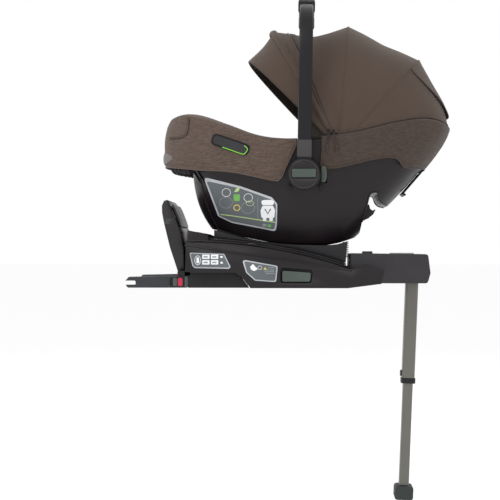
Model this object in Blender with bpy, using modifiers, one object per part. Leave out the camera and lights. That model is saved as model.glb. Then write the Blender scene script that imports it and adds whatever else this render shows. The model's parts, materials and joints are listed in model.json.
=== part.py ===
"""Infant car seat: a padded carrier with canopy and carry handle, docked on a car base.

The base has a load leg, an anti-rebound panel and two lower-anchor connectors. Metres, +Z up.
+X points to the child's head end, which faces the front of the car, and +Y is the car's left.
The origin is the centre of the base's underside, straight below the carry handle's hinge.
"""

import math

import bmesh
import bpy
from mathutils import Matrix, Vector

# Driving dimensions
HANDLE_AXIS = (0.0, 0.2524)
HANDLE_TOP = 0.6545
HANDLE_LEAN = math.radians(0.9)
CANOPY_AXIS = (0.0772, 0.3124)
RIM_MID, RIM_HALF, RIM_WIDTH = 0.0105, 0.3215, 0.177
SOLE_MID, SOLE_HALF, SOLE_WIDTH = -0.042, 0.160, 0.108
WALL = 0.004
GAP = 0.0005
BASE_WIDTH = 0.168
COVER_THICKNESS = 0.009
RAIL_RADIUS = 1.1
RAIL_CENTRE = (-0.2556, -0.9921)
LEG_AXIS = (0.2525, 0.022)
LEG_LEAN = math.radians(2.3)
CHANNEL = 0.036
ANCHOR_SPACING = 0.280
ANCHOR_HEIGHT = 0.0135
SIDES = (("right", -1), ("left", 1))

# Side-view heights of the carrier's rim, of its rocking sole and of the fabric's lower hems
RIM_LINE = (
    (-0.320, 0.362), (-0.300, 0.384), (-0.262, 0.388), (-0.185, 0.363), (-0.115, 0.338), (-0.050, 0.328),
    (0.020, 0.331), (0.115, 0.344), (0.200, 0.365), (0.265, 0.376), (0.300, 0.374), (0.340, 0.362),
)
SOLE_LINE = ((-0.210, 0.137), (-0.139, 0.1165), (-0.060, 0.104), (0.020, 0.100), (0.075, 0.1015), (0.120, 0.115))
FOOT_HEM = ((-0.330, 0.284), (-0.300, 0.278), (-0.243, 0.270), (-0.162, 0.263), (-0.081, 0.2465), (-0.030, 0.238))
HEAD_HEM = ((0.030, 0.272), (0.072, 0.2695), (0.164, 0.290), (0.212, 0.293), (0.250, 0.274), (0.300, 0.272))

# The canopy's bows, each as its angle round the canopy axis and its reach from it
VISOR_EDGE = (math.radians(134.0), 0.2940)
FRONT_BOW = (math.radians(117.4), 0.3130)
MID_BOW = (math.radians(85.0), 0.2905)
REAR_BOW = (math.radians(48.5), 0.2815)
CANOPY_HEM = (math.radians(17.0), 0.2650)
SAGS = (0.006, 0.030, 0.018, 0.009)
CANOPY_WIDTH = 0.172
CANOPY_POWER = 2.5

COLOURS = {
    "black_plastic": ((0.020, 0.018, 0.020), 0.45, 0.0),
    "soft_black": ((0.030, 0.030, 0.034), 0.60, 0.0),
    "brown_fabric": ((0.085, 0.062, 0.047), 0.90, 0.0),
    "canopy_fabric": ((0.075, 0.056, 0.040), 0.85, 0.0),
    "lining_fabric": ((0.030, 0.026, 0.024), 0.90, 0.0),
    "grey_green": ((0.085, 0.125, 0.105), 0.50, 0.0),
    "steel": ((0.350, 0.350, 0.350), 0.35, 1.0),
    "leg_alloy": ((0.230, 0.240, 0.205), 0.40, 0.8),
    "red_plastic": ((0.600, 0.030, 0.060), 0.40, 0.0),
    "webbing": ((0.020, 0.020, 0.022), 0.80, 0.0),
    "clear_lens": ((0.550, 0.600, 0.600), 0.15, 0.0),
}


# Helpers


def clear_scene():
    for item in list(bpy.data.objects):
        bpy.data.objects.remove(item)


def new_collection(name):
    made = bpy.data.collections.new(name)
    bpy.context.scene.collection.children.link(made)
    return made


def material(name):
    found = bpy.data.materials.get(name)
    if found:
        return found
    colour, roughness, metallic = COLOURS[name]
    made = bpy.data.materials.new(name)
    made.use_nodes = True
    shader = made.node_tree.nodes["Principled BSDF"]
    shader.inputs["Base Color"].default_value = (*colour, 1.0)
    shader.inputs["Roughness"].default_value = roughness
    shader.inputs["Metallic"].default_value = metallic
    return made


def smooth(points):
    """A curve through (x, value) points, as a function of x."""

    def slope(i):
        a, b = points[max(i - 1, 0)], points[min(i + 1, len(points) - 1)]
        return (b[1] - a[1]) / (b[0] - a[0])

    def value(x):
        x = min(max(x, points[0][0]), points[-1][0])
        i = max(k for k in range(len(points) - 1) if points[k][0] <= x + 1e-12)
        (x0, v0), (x1, v1) = points[i], points[i + 1]
        width = x1 - x0
        u = (x - x0) / width
        bend0, bend1 = slope(i) * width, slope(i + 1) * width
        return (
            (2 * u**3 - 3 * u**2 + 1) * v0
            + (u**3 - 2 * u**2 + u) * bend0
            + (3 * u**2 - 2 * u**3) * v1
            + (u**3 - u**2) * bend1
        )

    return value


rim_height = smooth(RIM_LINE)
sole_height = smooth(SOLE_LINE)
foot_hem = smooth(FOOT_HEM)
head_hem = smooth(HEAD_HEM)


def power_circle(angle, power):
    """A point of the unit superellipse of this power."""
    c, s = math.cos(angle), math.sin(angle)
    return math.copysign(abs(c) ** (2 / power), c), math.copysign(abs(s) ** (2 / power), s)


def rounded(corners, radius, steps=4):
    """A closed outline with each corner rounded by an arc of this radius, or less where a side is short."""
    made = []
    count = len(corners)
    for i, corner in enumerate(corners):
        here = Vector(corner)
        before = Vector(corners[i - 1]) - here
        after = Vector(corners[(i + 1) % count]) - here
        half = before.angle(after) / 2
        cut = min(radius / math.tan(half), 0.45 * before.length, 0.45 * after.length)
        start, end = here + before.normalized() * cut, here + after.normalized() * cut
        for k in range(steps + 1):
            u = k / steps
            made.append(tuple(start * (1 - u) ** 2 + here * 2 * u * (1 - u) + end * u**2))
    return made


def add_mesh(name, vertices, faces, paint, cutter=False):
    mesh = bpy.data.meshes.new(name)
    mesh.from_pydata([tuple(v) for v in vertices], [], faces)
    mesh.update()
    solid = bmesh.new()
    solid.from_mesh(mesh)
    bmesh.ops.recalc_face_normals(solid, faces=solid.faces)
    solid.to_mesh(mesh)
    solid.free()
    return add_object(name, mesh, paint, cutter)


def add_object(name, mesh, paint, cutter=False):
    made = bpy.data.objects.new(name, mesh)
    (CUTTERS if cutter else SEAT).objects.link(made)
    if cutter:
        made.hide_render = True
        made.display_type = "WIRE"
    else:
        mesh.materials.clear()
        mesh.materials.append(material(paint))
    return made


def box(name, low, high, paint=None, bevel=0.0):
    solid = bmesh.new()
    bmesh.ops.create_cube(solid, size=1.0)
    size = Vector(high) - Vector(low)
    centre = (Vector(high) + Vector(low)) / 2
    bmesh.ops.transform(solid, matrix=Matrix.Diagonal((*size, 1.0)), verts=solid.verts)
    bmesh.ops.translate(solid, vec=centre, verts=solid.verts)
    mesh = bpy.data.meshes.new(name)
    solid.to_mesh(mesh)
    solid.free()
    made = add_object(name, mesh, paint, cutter=paint is None)
    if bevel:
        round_edges(made, bevel)
    return made


def rod(name, start, end, radius, paint=None, sides=20):
    """A cylinder between two points."""
    start, end = Vector(start), Vector(end)
    solid = bmesh.new()
    bmesh.ops.create_cone(
        solid, cap_ends=True, segments=sides, radius1=radius, radius2=radius, depth=(end - start).length
    )
    turn = (end - start).to_track_quat("Z", "Y").to_matrix().to_4x4()
    bmesh.ops.transform(solid, matrix=Matrix.Translation((start + end) / 2) @ turn, verts=solid.verts)
    mesh = bpy.data.meshes.new(name)
    solid.to_mesh(mesh)
    solid.free()
    return add_object(name, mesh, paint, cutter=paint is None)


def plate(name, outline, low, high, paint=None, plane="XZ", bevel=0.0):
    """A flat outline made solid between two depths: along Y for plane XZ, along X for plane YZ."""
    curve = bpy.data.curves.new(name, "CURVE")
    curve.dimensions = "2D"
    curve.fill_mode = "BOTH"
    curve.extrude = (high - low) / 2
    spline = curve.splines.new("POLY")
    spline.points.add(len(outline) - 1)
    for point, (u, v) in zip(spline.points, outline):
        point.co = (u, v, 0.0, 1.0)
    spline.use_cyclic_u = True
    drawn = bpy.data.objects.new(name, curve)
    SEAT.objects.link(drawn)
    graph = bpy.context.evaluated_depsgraph_get()
    mesh = bpy.data.meshes.new_from_object(drawn.evaluated_get(graph))
    bpy.data.objects.remove(drawn)
    middle = (high + low) / 2
    if plane == "XZ":
        turn = Matrix(((1, 0, 0, 0), (0, 0, -1, middle), (0, 1, 0, 0), (0, 0, 0, 1)))
    else:
        turn = Matrix(((0, 0, 1, middle), (1, 0, 0, 0), (0, 1, 0, 0), (0, 0, 0, 1)))
    mesh.transform(turn)
    solid = bmesh.new()
    solid.from_mesh(mesh)
    bmesh.ops.remove_doubles(solid, verts=solid.verts, dist=1e-6)
    bmesh.ops.recalc_face_normals(solid, faces=solid.faces)
    solid.to_mesh(mesh)
    solid.free()
    made = add_object(name, mesh, paint, cutter=paint is None)
    if bevel:
        round_edges(made, bevel)
    return made


def sheet(name, place, across, along, paint, thickness, outward=True):
    """An open grid of place(u, v), u and v from 0 to 1, made solid by Solidify."""
    vertices = [place(i / across, j / along) for j in range(along + 1) for i in range(across + 1)]
    row = across + 1
    faces = [
        (j * row + i, j * row + i + 1, (j + 1) * row + i + 1, (j + 1) * row + i)
        for j in range(along)
        for i in range(across)
    ]
    mesh = bpy.data.meshes.new(name)
    mesh.from_pydata([tuple(v) for v in vertices], [], faces)
    made = add_object(name, mesh, paint)
    solid = made.modifiers.new("thickness", "SOLIDIFY")
    solid.thickness = thickness
    solid.offset = 1.0 if outward else -1.0
    solid.use_even_offset = True
    return made


def round_edges(item, width, segments=2):
    bevel = item.modifiers.new("rounding", "BEVEL")
    bevel.width = width
    bevel.segments = segments
    bevel.limit_method = "ANGLE"
    bevel.angle_limit = math.radians(40)


def boolean(item, other, operation):
    change = item.modifiers.new(operation.lower(), "BOOLEAN")
    change.operation = operation
    change.object = other
    change.solver = "EXACT"
    return item


def cut(item, *cutters):
    for cutter in cutters:
        boolean(item, cutter, "DIFFERENCE")
    return item


def join(item, *others):
    for other in others:
        boolean(item, other, "UNION")
    return item


def hinge_at(item, point):
    """Moves an object's origin to a point on its joint's axis, leaving its shape in place."""
    item.data.transform(Matrix.Translation(-Vector(point)))
    item.location = point
    return item


def on_axis(axis, y=0.0):
    return (axis[0], y, axis[1])


def turned(point, axis, angle):
    """A side-view point turned about an axis, from +Z towards +X."""
    x, z = point[0] - axis[0], point[1] - axis[1]
    return (
        axis[0] + x * math.cos(angle) + z * math.sin(angle),
        axis[1] - x * math.sin(angle) + z * math.cos(angle),
    )


def mirrored(outline):
    return [(-u, v) for u, v in reversed(outline)]


# Carrier


def carrier_width(x):
    """The rim's half width, narrower at the child's feet."""
    share = min(max((x + 0.30) / 0.28, 0.0), 1.0)
    return RIM_WIDTH - 0.026 * (1 - share) ** 2


def bowl_point(angle, depth, grow=0.0, sole=(SOLE_MID, SOLE_HALF, SOLE_WIDTH), lift=0.0, rise=0.0):
    """A point of the carrier's wall: depth 0 is its rim and 1 its sole. grow moves the wall outwards."""
    c, s = power_circle(angle, 2.8)
    rim_x = RIM_MID + (RIM_HALF + grow) * c
    rim_y = (carrier_width(rim_x) + grow) * s
    rim_z = rim_height(RIM_MID + RIM_HALF * c) + rise
    sole_x = sole[0] + (sole[1] + grow) * c
    sole_y = (sole[2] + grow) * s
    sole_z = sole_height(sole_x) + lift - grow
    swell = depth ** (1.35 - 0.10 * c + 0.75 * s * s)
    return (
        rim_x + (sole_x - rim_x) * swell,
        rim_y + (sole_y - rim_y) * swell,
        rim_z + (sole_z - rim_z) * depth,
    )


BOWL_SIDES = 36
BOWL_DEPTHS = (0.0, 0.15, 0.32, 0.50, 0.68, 0.84, 0.95, 1.0)


def bowl(name, paint, top=None, **shape):
    """The carrier's bowl as a closed solid, with flat strips across its mouth and its sole."""
    depths = BOWL_DEPTHS
    rings = [
        [bowl_point(2 * math.pi * i / BOWL_SIDES, depth, **shape) for i in range(BOWL_SIDES)] for depth in depths
    ]
    if top:
        rings.insert(0, [(x, y, z + top) for x, y, z in rings[0]])
    sole = rings[-1]
    middle = sum(p[0] for p in sole) / BOWL_SIDES
    rings.append([(middle + (x - middle) * 0.9, y * 0.88, z - 0.003) for x, y, z in sole])
    vertices = [p for ring in rings for p in ring]
    faces = [
        (
            j * BOWL_SIDES + i,
            j * BOWL_SIDES + (i + 1) % BOWL_SIDES,
            (j + 1) * BOWL_SIDES + (i + 1) % BOWL_SIDES,
            (j + 1) * BOWL_SIDES + i,
        )
        for j in range(len(rings) - 1)
        for i in range(BOWL_SIDES)
    ]
    for start in (0, (len(rings) - 1) * BOWL_SIDES):
        for i in range(BOWL_SIDES // 2):
            strip = [i, i + 1, (BOWL_SIDES - i - 1) % BOWL_SIDES, (BOWL_SIDES - i) % BOWL_SIDES]
            faces.append(tuple(dict.fromkeys(start + k for k in strip)))
    return add_mesh(name, vertices, faces, paint, cutter=paint is None)


BELT_NOTCH = (
    (0.121, 0.080), (0.132, 0.150), (0.1415, 0.186), (0.1475, 0.209), (0.157, 0.2155), (0.167, 0.2135),
    (0.1715, 0.200), (0.178, 0.1915), (0.189, 0.187), (0.270, 0.187), (0.270, 0.080),
)
BELT_NOTCH_WALL = (
    (0.116, 0.070), (0.128, 0.151), (0.1375, 0.187), (0.1440, 0.213), (0.156, 0.2195), (0.1695, 0.2175),
    (0.1755, 0.203), (0.181, 0.1955), (0.190, 0.191), (0.280, 0.191), (0.280, 0.070),
)
BELT_HOOK = (
    (0.1300, 0.1515), (0.1460, 0.1570), (0.1575, 0.1665), (0.1635, 0.1790), (0.1560, 0.1750),
    (0.1505, 0.1790), (0.1478, 0.1900), (0.1400, 0.1870),
)
DOCK_AXIS = (0.030, 0.118)
DOCK_BAR = (0.030, 0.0845)
HOOK_WIDTH = (0.060, 0.068)


def hook_slot(side):
    return box(f"hook_slot_{side}", (0.012, side * 0.064 - 0.006, 0.085), (0.052, side * 0.064 + 0.006, 0.110))


def carrier_shell():
    shell = bowl("carrier_shell", "black_plastic")
    cut(shell, plate("notch_cutter", BELT_NOTCH, -0.25, 0.25))
    inside = bowl("shell_inside", None, top=0.05, grow=-WALL)
    cut(inside, plate("notch_wall", BELT_NOTCH_WALL, -0.3, 0.3))
    cut(shell, inside)
    for name, side in SIDES:
        low, high = sorted((side * 0.157, side * 0.1885))
        hub = rod(f"hub_boss_{name}", on_axis(HANDLE_AXIS, low), on_axis(HANDLE_AXIS, high), 0.030, sides=24)
        join(shell, hub)
        low, high = sorted((side * 0.088, side * 0.100))
        join(shell, plate(f"belt_hook_{name}", BELT_HOOK, low, high))
        cut(shell, hook_slot(side))
        cut(shell, box(f"adapter_way_{name}", (0.0375, side * 0.170 - 0.02, 0.2345),
                       (0.0515, side * 0.170 + 0.02, 0.2725)))
    return shell


LINER_SOLE = (-0.070, 0.105, 0.100)


def seat_liner():
    """The padded inner seat, with its own bowl hollowed for the child."""
    liner = bowl("seat_liner", "lining_fabric", grow=-0.017, sole=LINER_SOLE, lift=0.042, rise=-0.002)
    hollow = bowl("liner_hollow", None, top=0.05, grow=-0.033, sole=LINER_SOLE, lift=0.047)
    return cut(liner, hollow)


def skirt(name, middle, span, hem, flare=0.0):
    """The outer seat cover over part of the rim, span degrees each way from its middle angle."""
    count = 18

    def place(u, v):
        turn = min(max(middle - 90 + 10 * round(u * count), middle - span), middle + span)
        angle = math.radians(turn)
        rim = bowl_point(angle, 0.0)
        low = bowl_point(angle, 1.0)
        depth = (rim[2] - hem(rim[0])) / (rim[2] - low[2])
        x, y, z = bowl_point(angle, depth * v, grow=0.0018 + 0.0012 * min(1.0, 3.0 * v))
        return (x - flare * v * max(0.0, -math.cos(angle)) ** 4, y, z)

    return sheet(name, place, count, 4, "brown_fabric", 0.0045, outward=False)


def seat_covers():
    skirt("seat_cover_head", 0, 88.8, head_hem)
    skirt("seat_cover_foot", 180, 86.2, foot_hem, flare=0.034)


def side_guides():
    """The lap-belt guides, slanting plates that lie on the seat cover's sides."""
    for name, side in SIDES:

        def place(u, v):
            angle = side * math.radians(124.0 - 17.0 * u)
            rim = bowl_point(angle, 0.0)
            low = bowl_point(angle, 1.0)
            height = 0.3455 - 0.022 * u - 0.025 * v
            return bowl_point(angle, (rim[2] - height) / (rim[2] - low[2]), grow=0.0080)

        sheet(f"belt_guide_{name}", place, 6, 2, "soft_black", 0.004, outward=side > 0)


def release_lever():
    """The pull lever behind the shell that frees the carrier from its base."""
    top, low = Vector((0.2690, 0.2655)), Vector((0.2262, 0.2160))
    along = (low - top).normalized()
    out = Vector((-along[1], along[0]))
    thick = 0.0032
    outline = [top, low, low + out * 0.0090 - along * 0.0005, low + out * 0.0090 - along * 0.0035,
               low + out * thick - along * 0.004, top + out * thick]
    lever = plate("release_lever", [tuple(p) for p in outline], -0.055, 0.055, "soft_black")
    return hinge_at(lever, (top[0], 0.0, top[1]))


def dock_latch():
    """A cross shaft with two hooks that catch the base's steel bar."""
    low, high = HOOK_WIDTH
    shaft = rod("dock_latch", on_axis(DOCK_AXIS, -0.075), on_axis(DOCK_AXIS, 0.075), 0.005, "steel", sides=16)
    x, z = DOCK_AXIS
    bar_x, bar_z = DOCK_BAR
    outline = [
        (x - 0.007, z + 0.004), (x - 0.009, z - 0.012), (bar_x - 0.0115, bar_z), (bar_x - 0.0085, bar_z - 0.0075),
        (bar_x - 0.0045, bar_z - 0.0075), (bar_x - 0.0045, bar_z), (bar_x - 0.0035, bar_z + 0.0055),
        (x + 0.002, z - 0.014), (x + 0.007, z + 0.004),
    ]
    for name, side in SIDES:
        near, far = sorted((side * low, side * high))
        join(shaft, plate(f"latch_hook_{name}", outline, near, far))
    return hinge_at(shaft, on_axis(DOCK_AXIS))


def harness():
    """The buckle on its crotch strap, and a shoulder strap with its pad on each side."""
    box("crotch_strap", (-0.060, -0.019, 0.1815), (-0.056, 0.019, 0.205), "webbing", bevel=0.001)
    buckle = box("buckle", (-0.0640, -0.026, 0.2055), (-0.0460, 0.026, 0.2560), "soft_black", bevel=0.003)
    cut(buckle, box("button_well", (-0.0700, -0.0125, 0.2135), (-0.0550, 0.0125, 0.2325)))
    button = box("buckle_button", (-0.0655, -0.0120, 0.2140), (-0.0582, 0.0120, 0.2320), "red_plastic", 0.001)
    hinge_at(button, (-0.062, 0.0, 0.223))
    for name, side in SIDES:
        def strap(u, v):
            x = -0.040 + 0.215 * v
            z = 0.225 + 0.067 * v**1.5
            y = side * (0.030 + 0.030 * v) + (u - 0.5) * 0.040
            return (x, y, z)

        sheet(f"shoulder_strap_{name}", strap, 1, 8, "webbing", 0.006)


# Canopy


def canopy_reach(angle):
    """The canopy's reach from its axis at an angle, dipping between bows."""
    stations = (VISOR_EDGE, FRONT_BOW, MID_BOW, REAR_BOW, CANOPY_HEM)
    for (a, reach_a), (b, reach_b), sag in zip(stations, stations[1:], SAGS):
        if angle >= b - 1e-9:
            u = min(max((a - angle) / (a - b), 0.0), 1.0)
            return reach_a + (reach_b - reach_a) * u - sag * (1 - abs(2 * u - 1) ** 1.6)
    return CANOPY_HEM[1]


def canopy_point(angle, turn, reach, width=CANOPY_WIDTH):
    """A point of a bow's arch: turn 0 is its right end on the axis, pi/2 its top, pi its left end."""
    c, s = power_circle(turn, CANOPY_POWER)
    out = reach * abs(s)
    return (CANOPY_AXIS[0] + out * math.cos(angle), -width * c, CANOPY_AXIS[1] + out * math.sin(angle))


def first_turn(angle, reach, clear):
    """Where an arch comes out above the carrier's rim."""
    turn = 0.0
    while turn < math.pi / 2:
        x, _, z = canopy_point(angle, turn, reach)
        if z > rim_height(x) + clear:
            return turn
        turn += 0.01
    return math.pi / 2


def canopy_panel(name, first, last, paint, arcs=4, first_gap=0.0):
    """The cloth between two angles round the canopy axis."""

    def place(u, v):
        angle = first - first_gap + (last - first + first_gap) * v
        reach = canopy_reach(angle)
        start = first_turn(angle, reach, 0.009)
        return canopy_point(angle, start + (math.pi - 2 * start) * u, reach + 0.002, CANOPY_WIDTH + 0.001)

    return sheet(name, place, 18, arcs, paint, 0.002)


def rear_panel(first):
    """The fixed cloth between the rear bow and the rim round the child's head."""
    reach = canopy_reach(first)
    start = first_turn(first, reach, 0.006)
    end_x = canopy_point(first, start, reach)[0]
    widest = math.acos(((end_x - RIM_MID) / RIM_HALF) ** (2.8 / 2))

    def place(u, v):
        top = Vector(canopy_point(first, start + (math.pi - 2 * start) * u, reach + 0.002, CANOPY_WIDTH + 0.001))
        low = Vector(bowl_point(widest * (2 * u - 1), 0.0, grow=-0.003, rise=0.006))
        point = top.lerp(low, v)
        swell = 0.012 * 4 * v * v * (1 - v) * math.sin(math.pi * u)
        return point + Vector((swell, 0.0, swell * 0.4))

    return sheet("canopy_rear", place, 18, 4, "canopy_fabric", 0.002)


def bow(name, station, inset, width, under=0.0045):
    """A flat spring-plastic hoop under the cloth. inset stacks the bows' ends side by side on the axis."""
    angle, reach = station
    across = Vector((-math.sin(angle), 0.0, math.cos(angle))) * 0.011
    start = 0.035

    def place(u, v):
        turn = start + (math.pi - 2 * start) * v
        point = Vector(canopy_point(angle, turn, reach - under, CANOPY_WIDTH - 0.0025))
        low = min(1.0, max(0.0, (0.5 - abs(math.sin(turn))) / 0.3))
        edge = math.copysign(1.0, point.y) * (abs(point.y) - inset * low)
        point.y = edge if abs(point.y) > 0.1 else point.y
        taper = 1.0 - 0.5 * low
        return tuple(point + across * (u - 0.5) * taper)

    made = sheet(name, place, 1, 26, "soft_black", width)
    return hinge_at(made, on_axis(CANOPY_AXIS))


def canopy():
    bow("bow_rear", REAR_BOW, 0.0075, 0.0022)
    bow("bow_mid", MID_BOW, 0.0040, 0.0022)
    bow("bow_front", FRONT_BOW, 0.0005, 0.0022, under=0.0085)
    slack = math.radians(0.4)
    rear_panel(REAR_BOW[0] - slack)
    for name, first, last in (("canopy_mid", MID_BOW, REAR_BOW), ("canopy_front", FRONT_BOW, MID_BOW),
                              ("canopy_visor", VISOR_EDGE, FRONT_BOW)):
        panel = canopy_panel(name, first[0] - slack, last[0] + slack, "canopy_fabric")
        hinge_at(panel, on_axis(CANOPY_AXIS))


# Carry handle


def handle_line(share):
    """The handle's centre line in the YZ plane: share 0 is the right hub, 1 the left one."""
    straight, corner = 0.50, 0.2012
    side = -1 if share < 0.5 else 1
    along = 1 - abs(2 * share - 1)
    if along < 0.4:
        return side * corner, HANDLE_AXIS[1] + (straight - HANDLE_AXIS[1]) * along / 0.4
    turn = (along - 0.4) / 0.6 * math.pi / 2
    c, s = power_circle(turn, 2.6)
    return side * corner * c, straight + (HANDLE_TOP - straight) * s


def handle_tube(name, first, last, size, count, paint, wall=None):
    """A rounded-rectangular tube along the handle's line, solid or, with a wall, a sleeve."""
    wide, deep = size
    corner = min(wide, deep) * 0.40
    ring = rounded([(-wide, -deep), (wide, -deep), (wide, deep), (-wide, deep)], corner, 3)
    vertices, faces = [], []
    for k in range(count + 1):
        share = first + (last - first) * k / count
        y, z = handle_line(share)
        y0, z0 = handle_line(max(share - 0.004, 0.0))
        y1, z1 = handle_line(min(share + 0.004, 1.0))
        along = Vector((0.0, y1 - y0, z1 - z0)).normalized()
        out = Vector((0.0, -along.z, along.y))
        for u, v in ring:
            vertices.append(Vector((u, y, z)) + out * v)
    n = len(ring)
    for k in range(count):
        for i in range(n):
            faces.append((k * n + i, k * n + (i + 1) % n, (k + 1) * n + (i + 1) % n, (k + 1) * n + i))
    if wall is None:
        faces += [tuple(range(n)), tuple(range(count * n, count * n + n))]
    made = add_mesh(name, vertices, faces, paint)
    if wall:
        solid = made.modifiers.new("wall", "SOLIDIFY")
        solid.thickness = wall
        solid.offset = 1.0
    return made


def lean(item):
    item.data.transform(Matrix.Rotation(HANDLE_LEAN, 4, "Y"))
    return item


def handle():
    frame = handle_tube("handle_frame", 0.0, 1.0, (0.0152, 0.0100), 40, "soft_black")
    frame = hinge_at(frame, on_axis(HANDLE_AXIS))
    lean(frame)
    for name, side in SIDES:
        low, high = sorted((side * 0.1895, side * 0.2110))
        hub = rod(f"hub_disc_{name}", on_axis(HANDLE_AXIS, low), on_axis(HANDLE_AXIS, high), 0.0352, sides=36)
        join(frame, hub)
        low, high = sorted((side * 0.2114, side * 0.2170))
        cap = rod(f"hub_cap_{name}", on_axis(HANDLE_AXIS, low), on_axis(HANDLE_AXIS, high), 0.0335,
                  "soft_black", sides=36)
        x, z = HANDLE_AXIS
        cut(cap, box(f"button_hole_{name}", (x - 0.0275, side * 0.2143 - 0.004, z - 0.0080),
                     (x + 0.0275, side * 0.2143 + 0.004, z + 0.0125)))
        low, high = sorted((side * 0.2144, side * 0.2186))
        button = box(f"handle_button_{name}", (x - 0.0268, low, z - 0.0073), (x + 0.0268, high, z + 0.0118),
                     "grey_green", 0.0012)
        hinge_at(cap, on_axis(HANDLE_AXIS, side * 0.2140))
        hinge_at(button, on_axis(HANDLE_AXIS, side * 0.2165))
    grip = handle_tube("handle_grip", 0.385, 0.615, (0.0158, 0.0106), 14, "soft_black", wall=0.0024)
    lean(hinge_at(grip, on_axis(HANDLE_AXIS)))


def adapter_buttons():
    """The finger levers behind the hubs that free the carrier from a stroller."""
    for name, side in SIDES:
        low, high = sorted((side * 0.1660, side * 0.1880))
        key = rounded([(0.0385, 0.236), (0.0475, 0.236), (0.0505, 0.246), (0.0505, 0.262), (0.0475, 0.271),
                       (0.0385, 0.271)], 0.003, 2)
        button = plate(f"adapter_button_{name}", key, low, high, "grey_green", bevel=0.0008)
        hinge_at(button, (0.044, side * 0.177, 0.253))


# Base


def rail_height(x, radius=RAIL_RADIUS):
    return RAIL_CENTRE[1] + math.sqrt(radius**2 - (x - RAIL_CENTRE[0]) ** 2)


def arc_between(first, last, count, drop=0.0):
    """Points along the curved rail, lowered by drop."""
    return [
        (first + (last - first) * k / count, rail_height(first + (last - first) * k / count, RAIL_RADIUS - drop))
        for k in range(count + 1)
    ]


DECK_ENDS = (-0.262, 0.100)
DECK_THICKNESS = 0.0045


def leg_channel(name, top=0.0455):
    return box(name, (-0.40, -CHANNEL, -0.05), (0.300, CHANNEL, top))


def base_tray():
    """The lower casing: a pan under the deck, with a roofed channel for the folded leg."""
    under = [(-0.2665, 0.036), (-0.156, 0.036), (-0.138, 0.026), (-0.120, 0.0), (0.100, 0.0), (0.101, 0.004)]
    top = [(0.101, rail_height(0.100) - 0.010)] + [
        (x, z - 0.0005) for x, z in reversed(arc_between(DECK_ENDS[0], 0.0995, 8, drop=DECK_THICKNESS))
    ]
    tray = plate("base_tray", under + top + [(-0.2645, 0.098)], -BASE_WIDTH, BASE_WIDTH,
                 "black_plastic")
    floor = [(-0.264, 0.040), (-0.154, 0.040), (-0.135, 0.029), (-0.118, 0.004), (0.096, 0.004), (0.096, 0.30),
             (-0.264, 0.30)]
    for name, side in SIDES:
        low, high = sorted((side * (CHANNEL + 0.004), side * (BASE_WIDTH - 0.004)))
        cut(tray, plate(f"tray_hollow_{name}", floor, low, high))
        x_low, x_high = -0.1395, 0.02
        y = side * ANCHOR_SPACING / 2
        cut(tray, box(f"arm_way_{name}", (x_low, y - 0.0125, ANCHOR_HEIGHT - 0.0108),
                      (-0.11, y + 0.0125, ANCHOR_HEIGHT + 0.0108)))
    cut(tray, leg_channel("tray_channel"))
    return tray


def base_deck():
    """The top casing: a curved slide for the recline cradle, stepped up behind it."""
    top = arc_between(DECK_ENDS[0], DECK_ENDS[1], 12)
    low = arc_between(DECK_ENDS[0], DECK_ENDS[1], 12, drop=DECK_THICKNESS)
    outline = top + [(0.1035, rail_height(0.1) - 0.003)] + low[::-1]
    deck = plate("base_deck", outline, -0.160, 0.160, "black_plastic")
    hump = [(-0.2145, 0.1030), (-0.2165, 0.1184), (-0.2300, 0.1238), (-0.2520, 0.1279), (-0.2618, 0.1300),
            (-0.2618, 0.1050)]
    for name, side in SIDES:
        near, far = sorted((side * 0.1320, side * 0.1598))
        join(deck, plate(f"deck_hump_{name}", hump, near, far))
    return deck


def rails():
    """Two polished slide strips on the deck."""
    for name, side in SIDES:
        low, high = sorted((side * 0.136, side * 0.150))
        outline = arc_between(-0.206, 0.094, 12, drop=-0.0045) + arc_between(-0.206, 0.094, 12, drop=-0.0004)[::-1]
        plate(f"slide_rail_{name}", outline, low, high, "black_plastic")


COVER_TOP = ((-0.2665, 0.1005), (-0.1895, 0.0875), (-0.1080, 0.0770), (-0.0090, 0.0615), (0.0160, 0.0555),
             (0.1085, 0.0425))
COVER_END = ((0.1380, 0.0540), (0.1780, 0.0415), (0.1725, 0.0100))
COVER_UNDER = ((0.1000, 0.0006), (-0.1190, 0.0006), (-0.1390, 0.0250), (-0.1560, 0.0345), (-0.2540, 0.0345))


def side_covers():
    """The outer side casings, each with a pocket for its anchor key."""
    outline = [*COVER_TOP, *COVER_END, *COVER_UNDER]
    for name, side in SIDES:
        low, high = sorted((side * (BASE_WIDTH + GAP), side * (BASE_WIDTH + GAP + COVER_THICKNESS)))
        cover = plate(f"side_cover_{name}", outline, low, high, "black_plastic")
        pocket = rounded([(-0.0520, 0.0125), (0.0160, 0.0125), (0.0190, 0.0400), (-0.0520, 0.0460)], 0.006, 3)
        low, high = sorted((side * (BASE_WIDTH + 0.0040), side * (BASE_WIDTH + 0.03)))
        cut(cover, plate(f"key_pocket_{name}", pocket, low, high))
        key = rounded([(-0.0485, 0.0150), (0.0135, 0.0150), (0.0155, 0.0345), (-0.0480, 0.0395)], 0.004, 3)
        low, high = sorted((side * (BASE_WIDTH + 0.0062), side * (BASE_WIDTH + 0.0100)))
        made = plate(f"anchor_key_{name}", key, low, high, "grey_green", bevel=0.0010)
        hinge_at(made, (-0.017, side * (BASE_WIDTH + 0.008), 0.027))


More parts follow.
